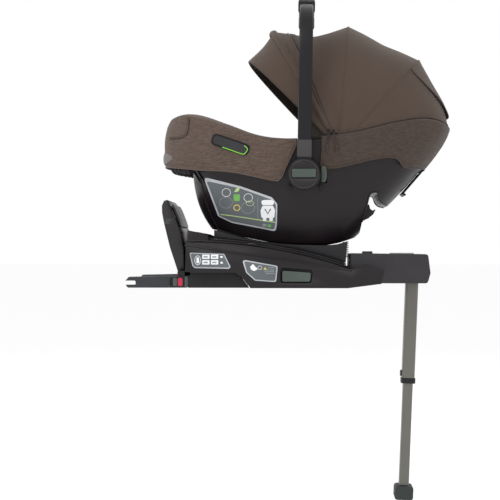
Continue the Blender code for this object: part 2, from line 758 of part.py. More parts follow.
def leg_housing():
    """The front box that holds the leg's hinge and stands over its channel."""
    outline = rounded([(0.1045, 0.0100), (0.2790, 0.0100), (0.2855, 0.0330), (0.2800, 0.0760), (0.1045, 0.0780)],
                      0.006, 2)
    housing = plate("leg_housing", outline, -0.122, 0.122, "black_plastic", bevel=0.004)
    cut(housing, box("housing_channel", (0.08, -CHANNEL, -0.02), (0.2300, CHANNEL, 0.0460)))
    cut(housing, box("hinge_room", (0.2250, -CHANNEL, -0.02), (0.2760, CHANNEL, 0.0500)))
    cut(housing, box("key_well", (0.1360, -0.0250, 0.0685), (0.1600, 0.0250, 0.0900)))
    cut(housing, rod("pin_way", on_axis(LEG_AXIS, -0.0420), on_axis(LEG_AXIS, 0.0420), 0.0043, sides=16))
    cut(housing, box("level_well", (0.2000, -0.0160, 0.0755), (0.2560, 0.0160, 0.0900)))
    box("recline_key", (0.1366, -0.0244, 0.0745), (0.1594, 0.0244, 0.0825), "grey_green", 0.0015)
    box("level_window", (0.2005, -0.0155, 0.0760), (0.2555, 0.0155, 0.0790), "clear_lens", 0.0008)
    rod("leg_pin", on_axis(LEG_AXIS, -0.0415), on_axis(LEG_AXIS, 0.0415), 0.0040, "steel", sides=16)
    return housing


def anti_rebound_panel():
    """The padded wall that rests against the car's backrest."""
    profile = [(-0.2840, 0.0370), (-0.3020, 0.0910), (-0.3134, 0.1370), (-0.3214, 0.1700), (-0.3228, 0.1860),
               (-0.3190, 0.1975), (-0.3120, 0.2000), (-0.3050, 0.1900), (-0.2920, 0.1600), (-0.2790, 0.1260),
               (-0.2710, 0.0900), (-0.2690, 0.0370)]
    panel = plate("rebound_panel", profile, -0.1500, 0.1500, "black_plastic")
    face = rounded([(-0.150, 0.0), (0.150, 0.0), (0.146, 0.150), (0.110, 0.205), (-0.110, 0.205), (-0.146, 0.150)],
                   0.030, 3)
    boolean(panel, plate("panel_face", face, -0.36, -0.20, plane="YZ"), "INTERSECT")
    cut(panel, leg_channel("panel_channel", top=0.0620))

    def pad(u, v):
        y = (u - 0.5) * 0.216
        z = 0.138 + 0.050 * v
        crown = 1 - (2 * u - 1) ** 2
        front = -0.2738 - (z - 0.1180) * 0.385
        return (front + 0.0016 + 0.0015 * crown, y, z)

    sheet("rebound_pad", pad, 8, 3, "soft_black", 0.0025, outward=False)


def recline_cradle():
    """The sliding cradle: its underside runs on the deck, its top carries the carrier's sole."""
    ends = (-0.2035, 0.0940)
    clearance = -0.0055
    under = arc_between(ends[0], ends[1], 12, drop=clearance)
    count = 10
    xs = [ends[1] + 0.004 - (ends[1] + 0.004 - ends[0]) * k / count for k in range(count + 1)]
    top = [(x, sole_height(x) - 0.0042) for x in xs]
    cradle = plate("recline_cradle", under + top, -0.128, 0.128, "black_plastic", bevel=0.0006)
    x, z = DOCK_BAR
    cut(cradle, box("bar_trough", (x - 0.020, -0.090, z - 0.0100), (x + 0.020, 0.090, 0.13)))
    bar = rod("dock_bar", (x, -0.0895, z), (x, 0.0895, z), 0.0035, "steel", sides=16)
    return cradle, bar


def anchors():
    """On each side, a guide under the base, a steel arm sliding in it, and the connector at its end."""
    z = ANCHOR_HEIGHT
    for name, side in SIDES:
        y = side * ANCHOR_SPACING / 2
        guide = plate(f"arm_guide_{name}", [(-0.2600, z - 0.0130), (-0.1240, z - 0.0130), (-0.1425, z + 0.0120),
                                           (-0.1590, z + 0.0205), (-0.2600, z + 0.0205)],
                      y - 0.0170, y + 0.0170, "soft_black", bevel=0.0008)
        cut(guide, box(f"guide_bore_{name}", (-0.30, y - 0.0110, z - 0.0085), (-0.09, y + 0.0110, z + 0.0085)))
        arm = box(f"anchor_arm_{name}", (-0.3000, y - 0.0105, z - 0.0080), (-0.1260, y + 0.0105, z + 0.0080),
                  "steel", 0.0012)
        nose = [(-0.4040, z + 0.0010), (-0.3945, z + 0.0115), (-0.3030, z + 0.0135), (-0.2640, z + 0.0135),
                (-0.2640, z - 0.0130), (-0.3960, z - 0.0130), (-0.4000, z - 0.0095)]
        head = plate(f"connector_{name}", nose, y - 0.0135, y + 0.0135, "soft_black", bevel=0.0010)
        cut(head, box(f"arm_socket_{name}", (-0.3050, y - 0.0110, z - 0.0085), (-0.25, y + 0.0110, z + 0.0085)))
        mouth = rounded([(-0.4200, z - 0.0065), (-0.3790, z - 0.0065), (-0.3790, z + 0.0030), (-0.4200, z + 0.0030)],
                        0.003, 3)
        cut(head, plate(f"mouth_{name}", mouth, y - 0.02, y + 0.02))
        cut(head, box(f"jaw_slot_{name}", (-0.3960, y - 0.0025, z - 0.0200), (-0.3480, y + 0.0025, z + 0.0090)))
        jaw = plate(f"anchor_jaw_{name}", [(-0.3930, z - 0.0105), (-0.3520, z - 0.0105), (-0.3520, z + 0.0060),
                                          (-0.3640, z + 0.0060), (-0.3740, z - 0.0068), (-0.3930, z - 0.0068)],
                    y - 0.0018, y + 0.0018, "steel")
        hinge_at(jaw, (-0.3570, y, z - 0.0030))
        low, high = z + 0.0102, z + 0.0162
        cut(head, box(f"tab_well_{name}", (-0.2890, y - 0.0080, low), (-0.2680, y + 0.0080, high)))
        tab = box(f"anchor_tab_{name}", (-0.2860, y - 0.0072, low + 0.0006), (-0.2750, y + 0.0072, high + 0.0004),
                  "red_plastic", 0.0008)
        for item, origin in ((arm, -0.21), (head, -0.33), (tab, -0.2805)):
            hinge_at(item, (origin, y, z))


# Load leg


def leg_place(item):
    """Leans a leg piece, drawn straight down below the hinge, and puts its origin on the hinge."""
    hinge_at(item, on_axis(LEG_AXIS))
    item.data.transform(Matrix.Rotation(LEG_LEAN, 4, "Y"))
    return item


def tube(name, half_x, half_y, low, high, paint, wall, corner):
    """An upright rounded tube centred below the leg's hinge."""
    x = LEG_AXIS[0]
    corners = [(-half_x, -half_y), (half_x, -half_y), (half_x, half_y), (-half_x, half_y)]
    outer = rounded(corners, corner, 3)
    vertices = [(x + u, v, z) for z in (low, high) for u, v in outer]
    n = len(outer)
    faces = [(i, (i + 1) % n, n + (i + 1) % n, n + i) for i in range(n)]
    made = add_mesh(name, vertices, faces, paint)
    solid = made.modifiers.new("wall", "SOLIDIFY")
    solid.thickness = wall
    solid.offset = -1.0
    return made


LEG_JOINT = -0.2130
LEG_FOOT = -0.4640


def load_leg():
    x, z = LEG_AXIS
    upper = tube("leg_outer_tube", 0.0145, 0.0200, LEG_JOINT, z + 0.014, "leg_alloy", 0.0016, 0.006)
    cut(upper, rod("leg_pin_hole", (x, -0.05, z), (x, 0.05, z), 0.0044, sides=16))
    way = box("button_way", (x - 0.0200, -0.0065, LEG_JOINT + 0.0025), (x - 0.0120, 0.0065, LEG_JOINT + 0.0175))
    cut(upper, way)
    lower = tube("leg_inner_tube", 0.0113, 0.0165, LEG_FOOT + 0.001, LEG_JOINT + 0.060, "leg_alloy", 0.0016, 0.005)
    collar = tube("leg_collar", 0.0165, 0.0220, LEG_JOINT - 0.0125, LEG_JOINT - 0.0005, "soft_black", 0.0045, 0.006)
    foot = box("leg_foot", (x - 0.0215, -0.0300, LEG_FOOT - 0.0330), (x + 0.0215, 0.0300, LEG_FOOT), "soft_black",
               0.006)
    button = box("leg_button", (x - 0.0190, -0.0060, LEG_JOINT + 0.003), (x - 0.0148, 0.0060, LEG_JOINT + 0.017),
                 "grey_green", 0.0008)
    for item in (upper, lower, collar, foot, button, way):
        leg_place(item)


clear_scene()
SEAT = new_collection("infant_car_seat")
CUTTERS = new_collection("cutters")

carrier_shell()
seat_liner()
seat_covers()
side_guides()
release_lever()
dock_latch()
harness()
canopy()
handle()
adapter_buttons()
base_tray()
base_deck()
rails()
side_covers()
leg_housing()
anti_rebound_panel()
recline_cradle()
anchors()
load_leg()
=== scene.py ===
"""Looks of an infant car seat: cloth, padding, mouldings, labels and seams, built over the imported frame.

Metres, +Z up. +X is the child's head end and +Y is the car's left.
"""

import json
import math

import bmesh
import bpy
from mathutils import Matrix, Vector, noise
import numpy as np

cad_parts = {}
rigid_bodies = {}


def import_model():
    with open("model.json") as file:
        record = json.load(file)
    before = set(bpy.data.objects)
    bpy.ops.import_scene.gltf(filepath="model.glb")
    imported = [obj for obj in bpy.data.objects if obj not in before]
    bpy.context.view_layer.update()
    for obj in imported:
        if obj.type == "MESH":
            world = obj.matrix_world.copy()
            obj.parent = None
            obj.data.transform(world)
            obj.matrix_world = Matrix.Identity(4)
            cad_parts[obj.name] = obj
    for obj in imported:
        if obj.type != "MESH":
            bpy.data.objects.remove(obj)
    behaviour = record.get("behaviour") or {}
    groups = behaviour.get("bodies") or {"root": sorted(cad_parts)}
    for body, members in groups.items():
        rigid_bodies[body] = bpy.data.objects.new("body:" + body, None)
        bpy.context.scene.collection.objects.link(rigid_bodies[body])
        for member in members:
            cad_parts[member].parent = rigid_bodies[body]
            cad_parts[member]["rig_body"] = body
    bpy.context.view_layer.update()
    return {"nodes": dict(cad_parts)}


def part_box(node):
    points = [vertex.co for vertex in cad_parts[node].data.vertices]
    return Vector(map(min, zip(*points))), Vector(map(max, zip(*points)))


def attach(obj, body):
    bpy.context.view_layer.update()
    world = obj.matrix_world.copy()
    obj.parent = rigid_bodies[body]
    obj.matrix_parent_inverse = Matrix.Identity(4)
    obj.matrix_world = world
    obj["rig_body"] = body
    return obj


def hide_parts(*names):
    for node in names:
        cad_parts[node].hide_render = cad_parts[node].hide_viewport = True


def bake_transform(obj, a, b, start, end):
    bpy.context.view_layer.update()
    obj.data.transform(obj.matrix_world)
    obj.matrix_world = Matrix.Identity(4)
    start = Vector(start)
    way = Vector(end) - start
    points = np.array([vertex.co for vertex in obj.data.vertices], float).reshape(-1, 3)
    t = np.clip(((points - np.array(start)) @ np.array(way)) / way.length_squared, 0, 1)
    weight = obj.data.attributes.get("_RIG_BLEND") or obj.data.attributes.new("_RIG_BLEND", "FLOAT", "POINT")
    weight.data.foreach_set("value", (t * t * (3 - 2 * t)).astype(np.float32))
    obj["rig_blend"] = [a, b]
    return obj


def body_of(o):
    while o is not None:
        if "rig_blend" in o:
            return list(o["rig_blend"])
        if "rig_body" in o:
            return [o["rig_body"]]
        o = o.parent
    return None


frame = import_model()
NODES = frame["nodes"]
SIDES = (("right", -1), ("left", 1))

# Shape constants of the part
HANDLE_AXIS = (0.0, 0.2524)
HANDLE_TOP = 0.6545
HANDLE_LEAN = math.radians(0.9)
CANOPY_AXIS = (0.0772, 0.3124)
RIM_MID, RIM_HALF, RIM_WIDTH = 0.0105, 0.3215, 0.177
SOLE = (-0.042, 0.160, 0.108)
LINER_SOLE = (-0.070, 0.105, 0.100)
WALL = 0.004
RAIL_RADIUS = 1.1
RAIL_CENTRE = (-0.2556, -0.9921)
COVER_FACE = 0.1775
LEG_DROP = 0.0465  # the floor's drop below the foot, room for the leg's longest setting
FLOOR_HALF = 60.0
RIM_LINE = (
    (-0.320, 0.362), (-0.300, 0.384), (-0.262, 0.388), (-0.185, 0.363), (-0.115, 0.338), (-0.050, 0.328),
    (0.020, 0.331), (0.115, 0.344), (0.200, 0.365), (0.265, 0.376), (0.300, 0.374), (0.340, 0.362),
)
SOLE_LINE = (
    (-0.210, 0.137), (-0.139, 0.1165), (-0.060, 0.104), (0.020, 0.100), (0.075, 0.1015), (0.120, 0.115),
)
FOOT_HEM = (
    (-0.330, 0.284), (-0.300, 0.278), (-0.243, 0.270), (-0.162, 0.263), (-0.081, 0.2465), (-0.030, 0.238),
)
FOOT_CORNER = ((-0.057, 0.2420), (-0.050, 0.2440), (-0.0423, 0.2580), (-0.0356, 0.2768), (-0.016, 0.3200))
HEAD_HEM = ((0.030, 0.272), (0.072, 0.2695), (0.164, 0.290), (0.212, 0.293), (0.250, 0.274), (0.300, 0.272))
BELT_NOTCH = (
    (0.121, 0.080), (0.132, 0.150), (0.1415, 0.186), (0.1475, 0.209), (0.157, 0.2155), (0.167, 0.2135),
    (0.1715, 0.200), (0.178, 0.1915), (0.189, 0.187), (0.270, 0.187), (0.270, 0.080),
)
BELT_HOOK = (
    (0.1300, 0.1515), (0.1460, 0.1570), (0.1575, 0.1665), (0.1635, 0.1790), (0.1560, 0.1750),
    (0.1505, 0.1790), (0.1478, 0.1900), (0.1400, 0.1870),
)
VISOR_EDGE = (math.radians(134.0), 0.2940)
FRONT_BOW = (math.radians(117.4), 0.3130)
MID_BOW = (math.radians(85.0), 0.2905)
REAR_BOW = (math.radians(48.5), 0.2815)
CANOPY_HEM = (math.radians(17.0), 0.2650)
SAGS = (0.006, 0.030, 0.018, 0.009)
CANOPY_WIDTH = 0.172
CANOPY_POWER = 2.5
# Shares of the seat cover's run, from hem to inner end, where its outer face and its rolled rim end
COVER_RIM, COVER_ROLL = 0.62, 0.82


# Materials


class Paint:
    """A node material on a Principled shader, with short calls for its texture nodes."""

    def __init__(self, name, colour, roughness, metallic=0.0, **sockets):
        self.made = bpy.data.materials.new(name)
        self.made.use_nodes = True
        self.tree = self.made.node_tree
        self.shader = self.tree.nodes["Principled BSDF"]
        self.shader.inputs["Base Color"].default_value = (*colour, 1.0)
        self.shader.inputs["Roughness"].default_value = roughness
        self.shader.inputs["Metallic"].default_value = metallic
        for socket, value in sockets.items():
            self.shader.inputs[socket.replace("_", " ")].default_value = value
        self.where = self.tree.nodes.new("ShaderNodeTexCoord").outputs["Object"]

    def add(self, kind, values=(), **settings):
        node = self.tree.nodes.new(kind)
        for key, value in settings.items():
            setattr(node, key, value)
        for key, value in dict(values).items():
            if isinstance(value, bpy.types.NodeSocket):
                self.tree.links.new(value, node.inputs[key])
            else:
                node.inputs[key].default_value = value
        return node

    def scaled(self, scale):
        return self.add("ShaderNodeMapping", {"Vector": self.where, "Scale": scale}).outputs[0]

    def noise(self, scale, detail=2.0, stretch=(1.0, 1.0, 1.0)):
        values = {"Vector": self.scaled(stretch), "Scale": scale, "Detail": detail}
        return self.add("ShaderNodeTexNoise", values).outputs["Fac"]

    def ramp(self, value, low, high, start=0.0, end=1.0):
        made = self.add(
            "ShaderNodeMapRange",
            {"Value": value, "From Min": low, "From Max": high, "To Min": start, "To Max": end},
        )
        return made.outputs[0]

    def math(self, operation, a, b=0.0):
        return self.add("ShaderNodeMath", {0: a, 1: b}, operation=operation).outputs[0]

    def mix(self, share, a, b):
        made = self.add("ShaderNodeMix", data_type="RGBA")
        for socket, value in ((0, share), (6, a), (7, b)):
            if isinstance(value, bpy.types.NodeSocket):
                self.tree.links.new(value, made.inputs[socket])
            else:
                made.inputs[socket].default_value = value if socket == 0 else (*value, 1.0)
        return made.outputs[2]

    def paint(self, socket, value):
        self.tree.links.new(value, self.shader.inputs[socket])

    def bump(self, height, distance, strength=1.0):
        made = self.add("ShaderNodeBump", {"Height": height, "Distance": distance, "Strength": strength})
        self.paint("Normal", made.outputs[0])

    def threads(self, pitch):
        """A woven lattice that needs no unwrapping: one sine along each axis."""
        parts = self.add("ShaderNodeSeparateXYZ", {0: self.where})
        turns = [self.math("MULTIPLY", parts.outputs[i], 2 * math.pi / pitch) for i in range(3)]
        x, y, z = (self.math("SINE", turn) for turn in turns)
        return self.math("ADD", self.math("MULTIPLY", x, z), self.math("MULTIPLY", y, z))


def shade(colour, factor):
    return tuple(min(1.0, c * factor) for c in colour)


def cloth(name, colour, pitch, slub, contrast, sheen=0.15):
    """Woven cloth: threads in relief, long and short slubs in two shades, and slight fading."""
    made = Paint(name, colour, 0.88, Sheen_Weight=sheen, Sheen_Roughness=0.45, Specular_IOR_Level=0.25)
    across = made.ramp(made.noise(slub, 3.0, (1.0, 1.0, 9.0)), 0.44, 0.60)
    along = made.ramp(made.noise(slub * 1.2, 3.0, (9.0, 9.0, 1.0)), 0.46, 0.62)
    coarse = made.ramp(made.noise(slub * 0.28, 3.0, (1.0, 1.0, 9.0)), 0.42, 0.62, 0.0, 0.75)
    upright = made.ramp(made.noise(slub * 0.34, 3.0, (9.0, 9.0, 1.0)), 0.46, 0.66, 0.0, 0.50)
    fleck = made.math("MAXIMUM", across, made.math("MULTIPLY", along, 0.8))
    fleck = made.math("MULTIPLY", made.math("ADD", fleck, made.math("MAXIMUM", coarse, upright)), 0.62)
    body = made.mix(fleck, shade(colour, 1 - contrast), shade(colour, 1 + contrast))
    worn = made.ramp(made.noise(7.0, 4.0), 0.35, 0.70, 0.0, 0.35)
    threads = made.threads(pitch)
    lit = made.mix(made.ramp(threads, -1.2, 1.2), (0.90, 0.90, 0.90), (1.10, 1.09, 1.08))
    faded = made.mix(worn, body, shade(colour, 1.16))
    final = made.add("ShaderNodeMix", data_type="RGBA", blend_type="MULTIPLY")
    final.inputs[0].default_value = 1.0
    made.tree.links.new(faded, final.inputs[6])
    made.tree.links.new(lit, final.inputs[7])
    made.paint("Base Color", final.outputs[2])
    made.bump(made.math("ADD", threads, made.math("MULTIPLY", fleck, 1.4)), 0.00012, 0.7)
    return made.made


def plastic(name, colour, roughness, grain=1400.0, depth=0.00003, variation=0.05, sheen=0.0, gloss=0.28):
    """Moulded plastic: fine spark-eroded grain, uneven gloss and faint handling marks."""
    made = Paint(name, colour, roughness, Sheen_Weight=sheen, Specular_IOR_Level=gloss)
    cloud = made.noise(9.0, 3.0)
    made.paint("Base Color", made.mix(made.ramp(cloud, 0.3, 0.7), shade(colour, 0.88), shade(colour, 1.14)))
    marks = made.ramp(made.noise(38.0, 3.0), 0.35, 0.75, roughness - variation, roughness + variation)
    made.paint("Roughness", marks)
    made.bump(made.noise(grain, 2.0), depth, 0.6)
    return made.made


def metal(name, colour, roughness, stretch):
    """Drawn metal with fine lines along one axis."""
    made = Paint(name, colour, roughness, 0.85)
    lines = made.noise(900.0, 2.0, stretch)
    made.paint("Roughness", made.ramp(lines, 0.3, 0.7, roughness - 0.08, roughness + 0.10))
    made.paint("Base Color", made.mix(made.noise(14.0, 3.0), shade(colour, 0.9), shade(colour, 1.1)))
    made.bump(lines, 0.00002, 0.5)
    return made.made


def webbing(name, colour):
    """Flat woven belt: ribs across it and a pebbled face."""
    made = Paint(name, colour, 0.55, Sheen_Weight=0.15)
    threads = made.threads(0.0016)
    # The ribs' raised tops are painted lighter and their hollows darker, following the bump: painted light and shade
    # on the ribs.
    made.paint("Base Color", made.mix(made.ramp(threads, -1.0, 1.0), shade(colour, 0.7), shade(colour, 1.5)))
    made.bump(threads, 0.0002, 0.8)
    return made.made


BROWN, CANOPY_BROWN = (0.094, 0.067, 0.054), (0.077, 0.0535, 0.0415)
PAINTS = {
    "seat_cloth": cloth("seat_cloth", BROWN, 0.0016, 170.0, 0.55),
    "head_cloth": cloth("head_cloth", shade(BROWN, 0.62), 0.0013, 230.0, 0.50),
    "canopy_cloth": cloth("canopy_cloth", CANOPY_BROWN, 0.0009, 420.0, 0.10, 0.12),
    "binding": cloth("binding", shade(BROWN, 0.62), 0.0012, 300.0, 0.20),
    "piping": cloth("piping", shade(BROWN, 1.25), 0.0010, 300.0, 0.20),
    "lining": cloth("lining", (0.044, 0.036, 0.030), 0.0014, 260.0, 0.35),
    "quilt": cloth("quilt", (0.074, 0.062, 0.055), 0.0012, 330.0, 0.30),
    "gather": cloth("gather_dark", (0.014, 0.012, 0.012), 0.0012, 260.0, 0.30),
    "puff": cloth("puff_grey", (0.16, 0.15, 0.145), 0.0012, 300.0, 0.20),
    "thread": cloth("thread", shade(BROWN, 0.42), 0.0008, 300.0, 0.10),
    "shell": plastic("shell_plastic", (0.0098, 0.0068, 0.0088), 0.40),
    "casing": plastic("casing_plastic", (0.0115, 0.0092, 0.0108), 0.42),
    "cradle": plastic("cradle_plastic", (0.0140, 0.0125, 0.0145), 0.40),
    "housing": plastic("housing_plastic", (0.030, 0.0275, 0.0300), 0.40),
    "cushion": plastic("rebound_padding", (0.046, 0.042, 0.044), 0.46, 420.0, 0.00010, gloss=0.35),
    "badge": plastic("badge_grey", (0.028, 0.028, 0.032), 0.35),
    "soft_black": plastic("soft_black", (0.0110, 0.0105, 0.0115), 0.50),
    "handle": plastic("handle_slate", (0.0090, 0.0088, 0.0108), 0.36, 1800.0, 0.00002, 0.03, gloss=0.24),
    "sleeve": plastic("sleeve_grey", (0.052, 0.046, 0.050), 0.40),
    "grip": plastic("grip_rubber", (0.022, 0.022, 0.025), 0.62, 1100.0, 0.00006),
    "hub": plastic("hub_black", (0.0165, 0.0130, 0.0155), 0.38),
    "ring": plastic("ring_dark", (0.0060, 0.0050, 0.0065), 0.34),
    "leather": plastic("rebound_skin", (0.0130, 0.0105, 0.0118), 0.40, 420.0, 0.00008, gloss=0.40),
    "green": plastic("grey_green", (0.068, 0.087, 0.075), 0.45),
    "red": plastic("signal_red", (0.520, 0.030, 0.070), 0.38),
    "rubber": plastic("foot_rubber", (0.036, 0.042, 0.041), 0.70, 700.0, 0.0001),
    "connector": plastic("connector_grey", (0.034, 0.036, 0.040), 0.45),
    "steel": metal("steel", (0.42, 0.42, 0.42), 0.32, (0.05, 1.0, 1.0)),
    "alloy": metal("leg_alloy", (0.160, 0.157, 0.140), 0.40, (1.0, 1.0, 0.02)),
    "webbing": webbing("webbing", (0.028, 0.027, 0.029)),
    "lens": plastic("level_lens", (0.38, 0.42, 0.42), 0.14, 200.0, 0.00001, 0.05),
    "label": plastic("label_slate", (0.115, 0.128, 0.138), 0.42, 2000.0, 0.00001),
    "label_edge": plastic("label_silver", (0.46, 0.48, 0.51), 0.30, 2000.0, 0.00001),
    "ink_white": plastic("ink_white", (0.78, 0.79, 0.80), 0.45, 2000.0, 0.00001),
    "ink_green": plastic("ink_green", (0.16, 0.42, 0.10), 0.45, 2000.0, 0.00001),
    "ink_pale": plastic("ink_pale", (0.45, 0.60, 0.25), 0.45, 2000.0, 0.00001),
    "ink_yellow": plastic("ink_yellow", (0.70, 0.55, 0.10), 0.45, 2000.0, 0.00001),
    "ink_grey": plastic("ink_grey", (0.26, 0.28, 0.30), 0.45, 2000.0, 0.00001),
    "lime": plastic("lime_line", (0.22, 0.60, 0.06), 0.35, 2000.0, 0.00001),
}


# Curves and surfaces of the part


def smooth(points):
    """A curve through (x, value) points, as a function of x."""

    def slope(i):
        a, b = points[max(i - 1, 0)], points[min(i + 1, len(points) - 1)]
        return (b[1] - a[1]) / (b[0] - a[0])

    def value(x):
        x = min(max(x, points[0][0]), points[-1][0])
        i = max(k for k in range(len(points) - 1) if points[k][0] <= x + 1e-12)
        (x0, v0), (x1, v1) = points[i], points[i + 1]
        u = (x - x0) / (x1 - x0)
        bend0, bend1 = slope(i) * (x1 - x0), slope(i + 1) * (x1 - x0)
        return (
            (2 * u**3 - 3 * u**2 + 1) * v0 + (u**3 - 2 * u**2 + u) * bend0
            + (3 * u**2 - 2 * u**3) * v1 + (u**3 - u**2) * bend1
        )

    return value


rim_height, sole_height = smooth(RIM_LINE), smooth(SOLE_LINE)
foot_hem, head_hem = smooth(FOOT_HEM), smooth(HEAD_HEM)
foot_corner = smooth(FOOT_CORNER)


def power_circle(angle, power):
    c, s = math.cos(angle), math.sin(angle)
    return math.copysign(abs(c) ** (2 / power), c), math.copysign(abs(s) ** (2 / power), s)


def carrier_width(x):
    share = min(max((x + 0.30) / 0.28, 0.0), 1.0)
    return RIM_WIDTH - 0.026 * (1 - share) ** 2


def tucked_in(depth):
    """How far the foot end's wall has come in: quickly at first, then nearly upright, then round to the sole."""
    u = min(depth / 0.45, 1.0)
    return 0.45 * u * u * (3 - 2 * u) + 0.43 * depth**4


def bowl_point(angle, depth, grow=0.0, sole=SOLE, lift=0.0, rise=0.0, tuck=1.0):
    """A point of the carrier's wall: depth 0 is its rim and 1 its sole. grow moves the wall outwards."""
    c, s = power_circle(angle, 2.8)
    rim_x = RIM_MID + (RIM_HALF + grow) * c
    rim_y = (carrier_width(rim_x) + grow) * s
    rim_z = rim_height(RIM_MID + RIM_HALF * c) + rise
    sole_x = sole[0] + (sole[1] + grow) * c
    sole_y = (sole[2] + grow) * s
    sole_z = sole_height(sole_x) + lift - grow
    swell = depth ** (1.35 - 0.10 * c + 0.75 * s * s)
    swell += (tucked_in(depth) - swell) * tuck * max(0.0, -c) ** 3
    return Vector((
        rim_x + (sole_x - rim_x) * swell, rim_y + (sole_y - rim_y) * swell, rim_z + (sole_z - rim_z) * depth,
    ))


def wall_point(x, z, side, grow=0.0, tuck=1.0):
    """The point of the carrier's wall at a side-view position."""

    def at(angle):
        top, low = bowl_point(angle, 0.0, grow), bowl_point(angle, 1.0, grow)
        return bowl_point(angle, min(max((top.z - z) / (top.z - low.z), 0.0), 1.0), grow, tuck=tuck)

    low, high = 0.02, math.pi - 0.02
    for _ in range(26):
        middle = (low + high) / 2
        low, high = (middle, high) if at(middle).x > x else (low, middle)
    found = at(low)
    return Vector((x, side * found.y, z))


def canopy_reach(angle):
    stations = (VISOR_EDGE, FRONT_BOW, MID_BOW, REAR_BOW, CANOPY_HEM)
    for (a, reach_a), (b, reach_b), sag in zip(stations, stations[1:], SAGS):
        if angle >= b - 1e-9:
            u = min(max((a - angle) / (a - b), 0.0), 1.0)
            return reach_a + (reach_b - reach_a) * u - sag * (1 - abs(2 * u - 1) ** 1.6)
    return CANOPY_HEM[1]


def canopy_point(angle, turn, reach, width=CANOPY_WIDTH):
    """A point of a bow's arch: turn 0 is its right end on the axis, pi/2 its top, pi its left end."""
    c, s = power_circle(turn, CANOPY_POWER)
    out = reach * abs(s)
    return Vector((CANOPY_AXIS[0] + out * math.cos(angle), -width * c, CANOPY_AXIS[1] + out * math.sin(angle)))


def first_turn(angle, reach, clear):
    turn = 0.0
    while turn < math.pi / 2:
        point = canopy_point(angle, turn, reach)
        if point.z > rim_height(point.x) + clear:
            return turn
        turn += 0.004
    return math.pi / 2


def rail_height(x, drop=0.0):
    return RAIL_CENTRE[1] + math.sqrt((RAIL_RADIUS - drop) ** 2 - (x - RAIL_CENTRE[0]) ** 2)


def handle_line(share):
    straight, corner = 0.50, 0.2012
    side = -1 if share < 0.5 else 1
    along = 1 - abs(2 * share - 1)
    if along < 0.4:
        return side * corner, HANDLE_AXIS[1] + (straight - HANDLE_AXIS[1]) * along / 0.4
    c, s = power_circle((along - 0.4) / 0.6 * math.pi / 2, 2.6)
    return side * corner * c, straight + (HANDLE_TOP - straight) * s


# Mesh building


def rounded(corners, radius, steps=5):
    """A closed outline with each corner rounded by an arc of this radius, or less where a side is short."""
    made = []
    for i, corner in enumerate(corners):
        here = Vector(corner)
        before, after = Vector(corners[i - 1]) - here, Vector(corners[(i + 1) % len(corners)]) - here
        half = before.angle(after) / 2
        cut = min(radius / math.tan(half), 0.45 * before.length, 0.45 * after.length)
        start, end = here + before.normalized() * cut, here + after.normalized() * cut
        for k in range(steps + 1):
            u = k / steps
            made.append(tuple(start * (1 - u) ** 2 + here * 2 * u * (1 - u) + end * u**2))
    return made


def place_mesh(name, mesh, paint, body=None, replaces=(), slot=None, flat_angle=40.0):
    made = bpy.data.objects.new(name, mesh)
    bpy.context.scene.collection.objects.link(made)
    if paint:
        mesh.materials.clear()
        mesh.materials.append(PAINTS[paint])
    mesh.shade_smooth()
    mesh.set_sharp_from_angle(angle=math.radians(flat_angle))
    if body:
        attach(made, body)
    if replaces:
        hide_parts(*replaces)
    return made


def face_outwards(mesh, weld=0.0):
    """Turns all faces outwards, after merging points closer than weld."""
    solid = bmesh.new()
    solid.from_mesh(mesh)
    if weld:
        bmesh.ops.remove_doubles(solid, verts=solid.verts, dist=weld)
    bmesh.ops.recalc_face_normals(solid, faces=solid.faces)
    solid.to_mesh(mesh)
    solid.free()


def built_mesh(name, vertices, faces):
    mesh = bpy.data.meshes.new(name)
    mesh.from_pydata([tuple(v) for v in vertices], [], faces)
    return mesh


def closed_mesh(name, vertices, faces):
    mesh = built_mesh(name, vertices, faces)
    face_outwards(mesh)
    return mesh


def quads(across, along, closed=True):
    """The faces between rows of points. A closed row joins its last point to its first."""
    count = across if closed else across + 1
    return [
        (j * count + i, j * count + (i + 1) % count, (j + 1) * count + (i + 1) % count, (j + 1) * count + i)
        for j in range(along)
        for i in range(across)
    ]


def apply_modifiers(item):
    """Makes what the modifiers show the object's own mesh."""
    graph = bpy.context.evaluated_depsgraph_get()
    mesh = bpy.data.meshes.new_from_object(item.evaluated_get(graph))
    item.modifiers.clear()
    item.data = mesh
    return item


def grid(name, place, across, along, paint, thickness=0.0, body=None, closed=False, ease=0.0, **more):
    """An open grid of place(u, v), u and v from 0 to 1, with a thickness on its inner side."""
    count = across if closed else across + 1
    points = [Vector(place(i / across, j / along)) for j in range(along + 1) for i in range(count)]
    made = place_mesh(name, built_mesh(name, points, quads(across, along, closed)), paint, **more)
    if thickness:
        solid = made.modifiers.new("thickness", "SOLIDIFY")
        solid.thickness, solid.offset = abs(thickness), math.copysign(1.0, thickness)
        solid.use_even_offset = False
        if ease:
            bevel = made.modifiers.new("fold", "BEVEL")
            bevel.width, bevel.segments, bevel.limit_method = ease, 2, "ANGLE"
            bevel.angle_limit = math.radians(60)
        apply_modifiers(made)
        made.data.shade_smooth()
        made.data.set_sharp_from_angle(angle=math.radians(60))
    if body:
        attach(made, body)
    return made


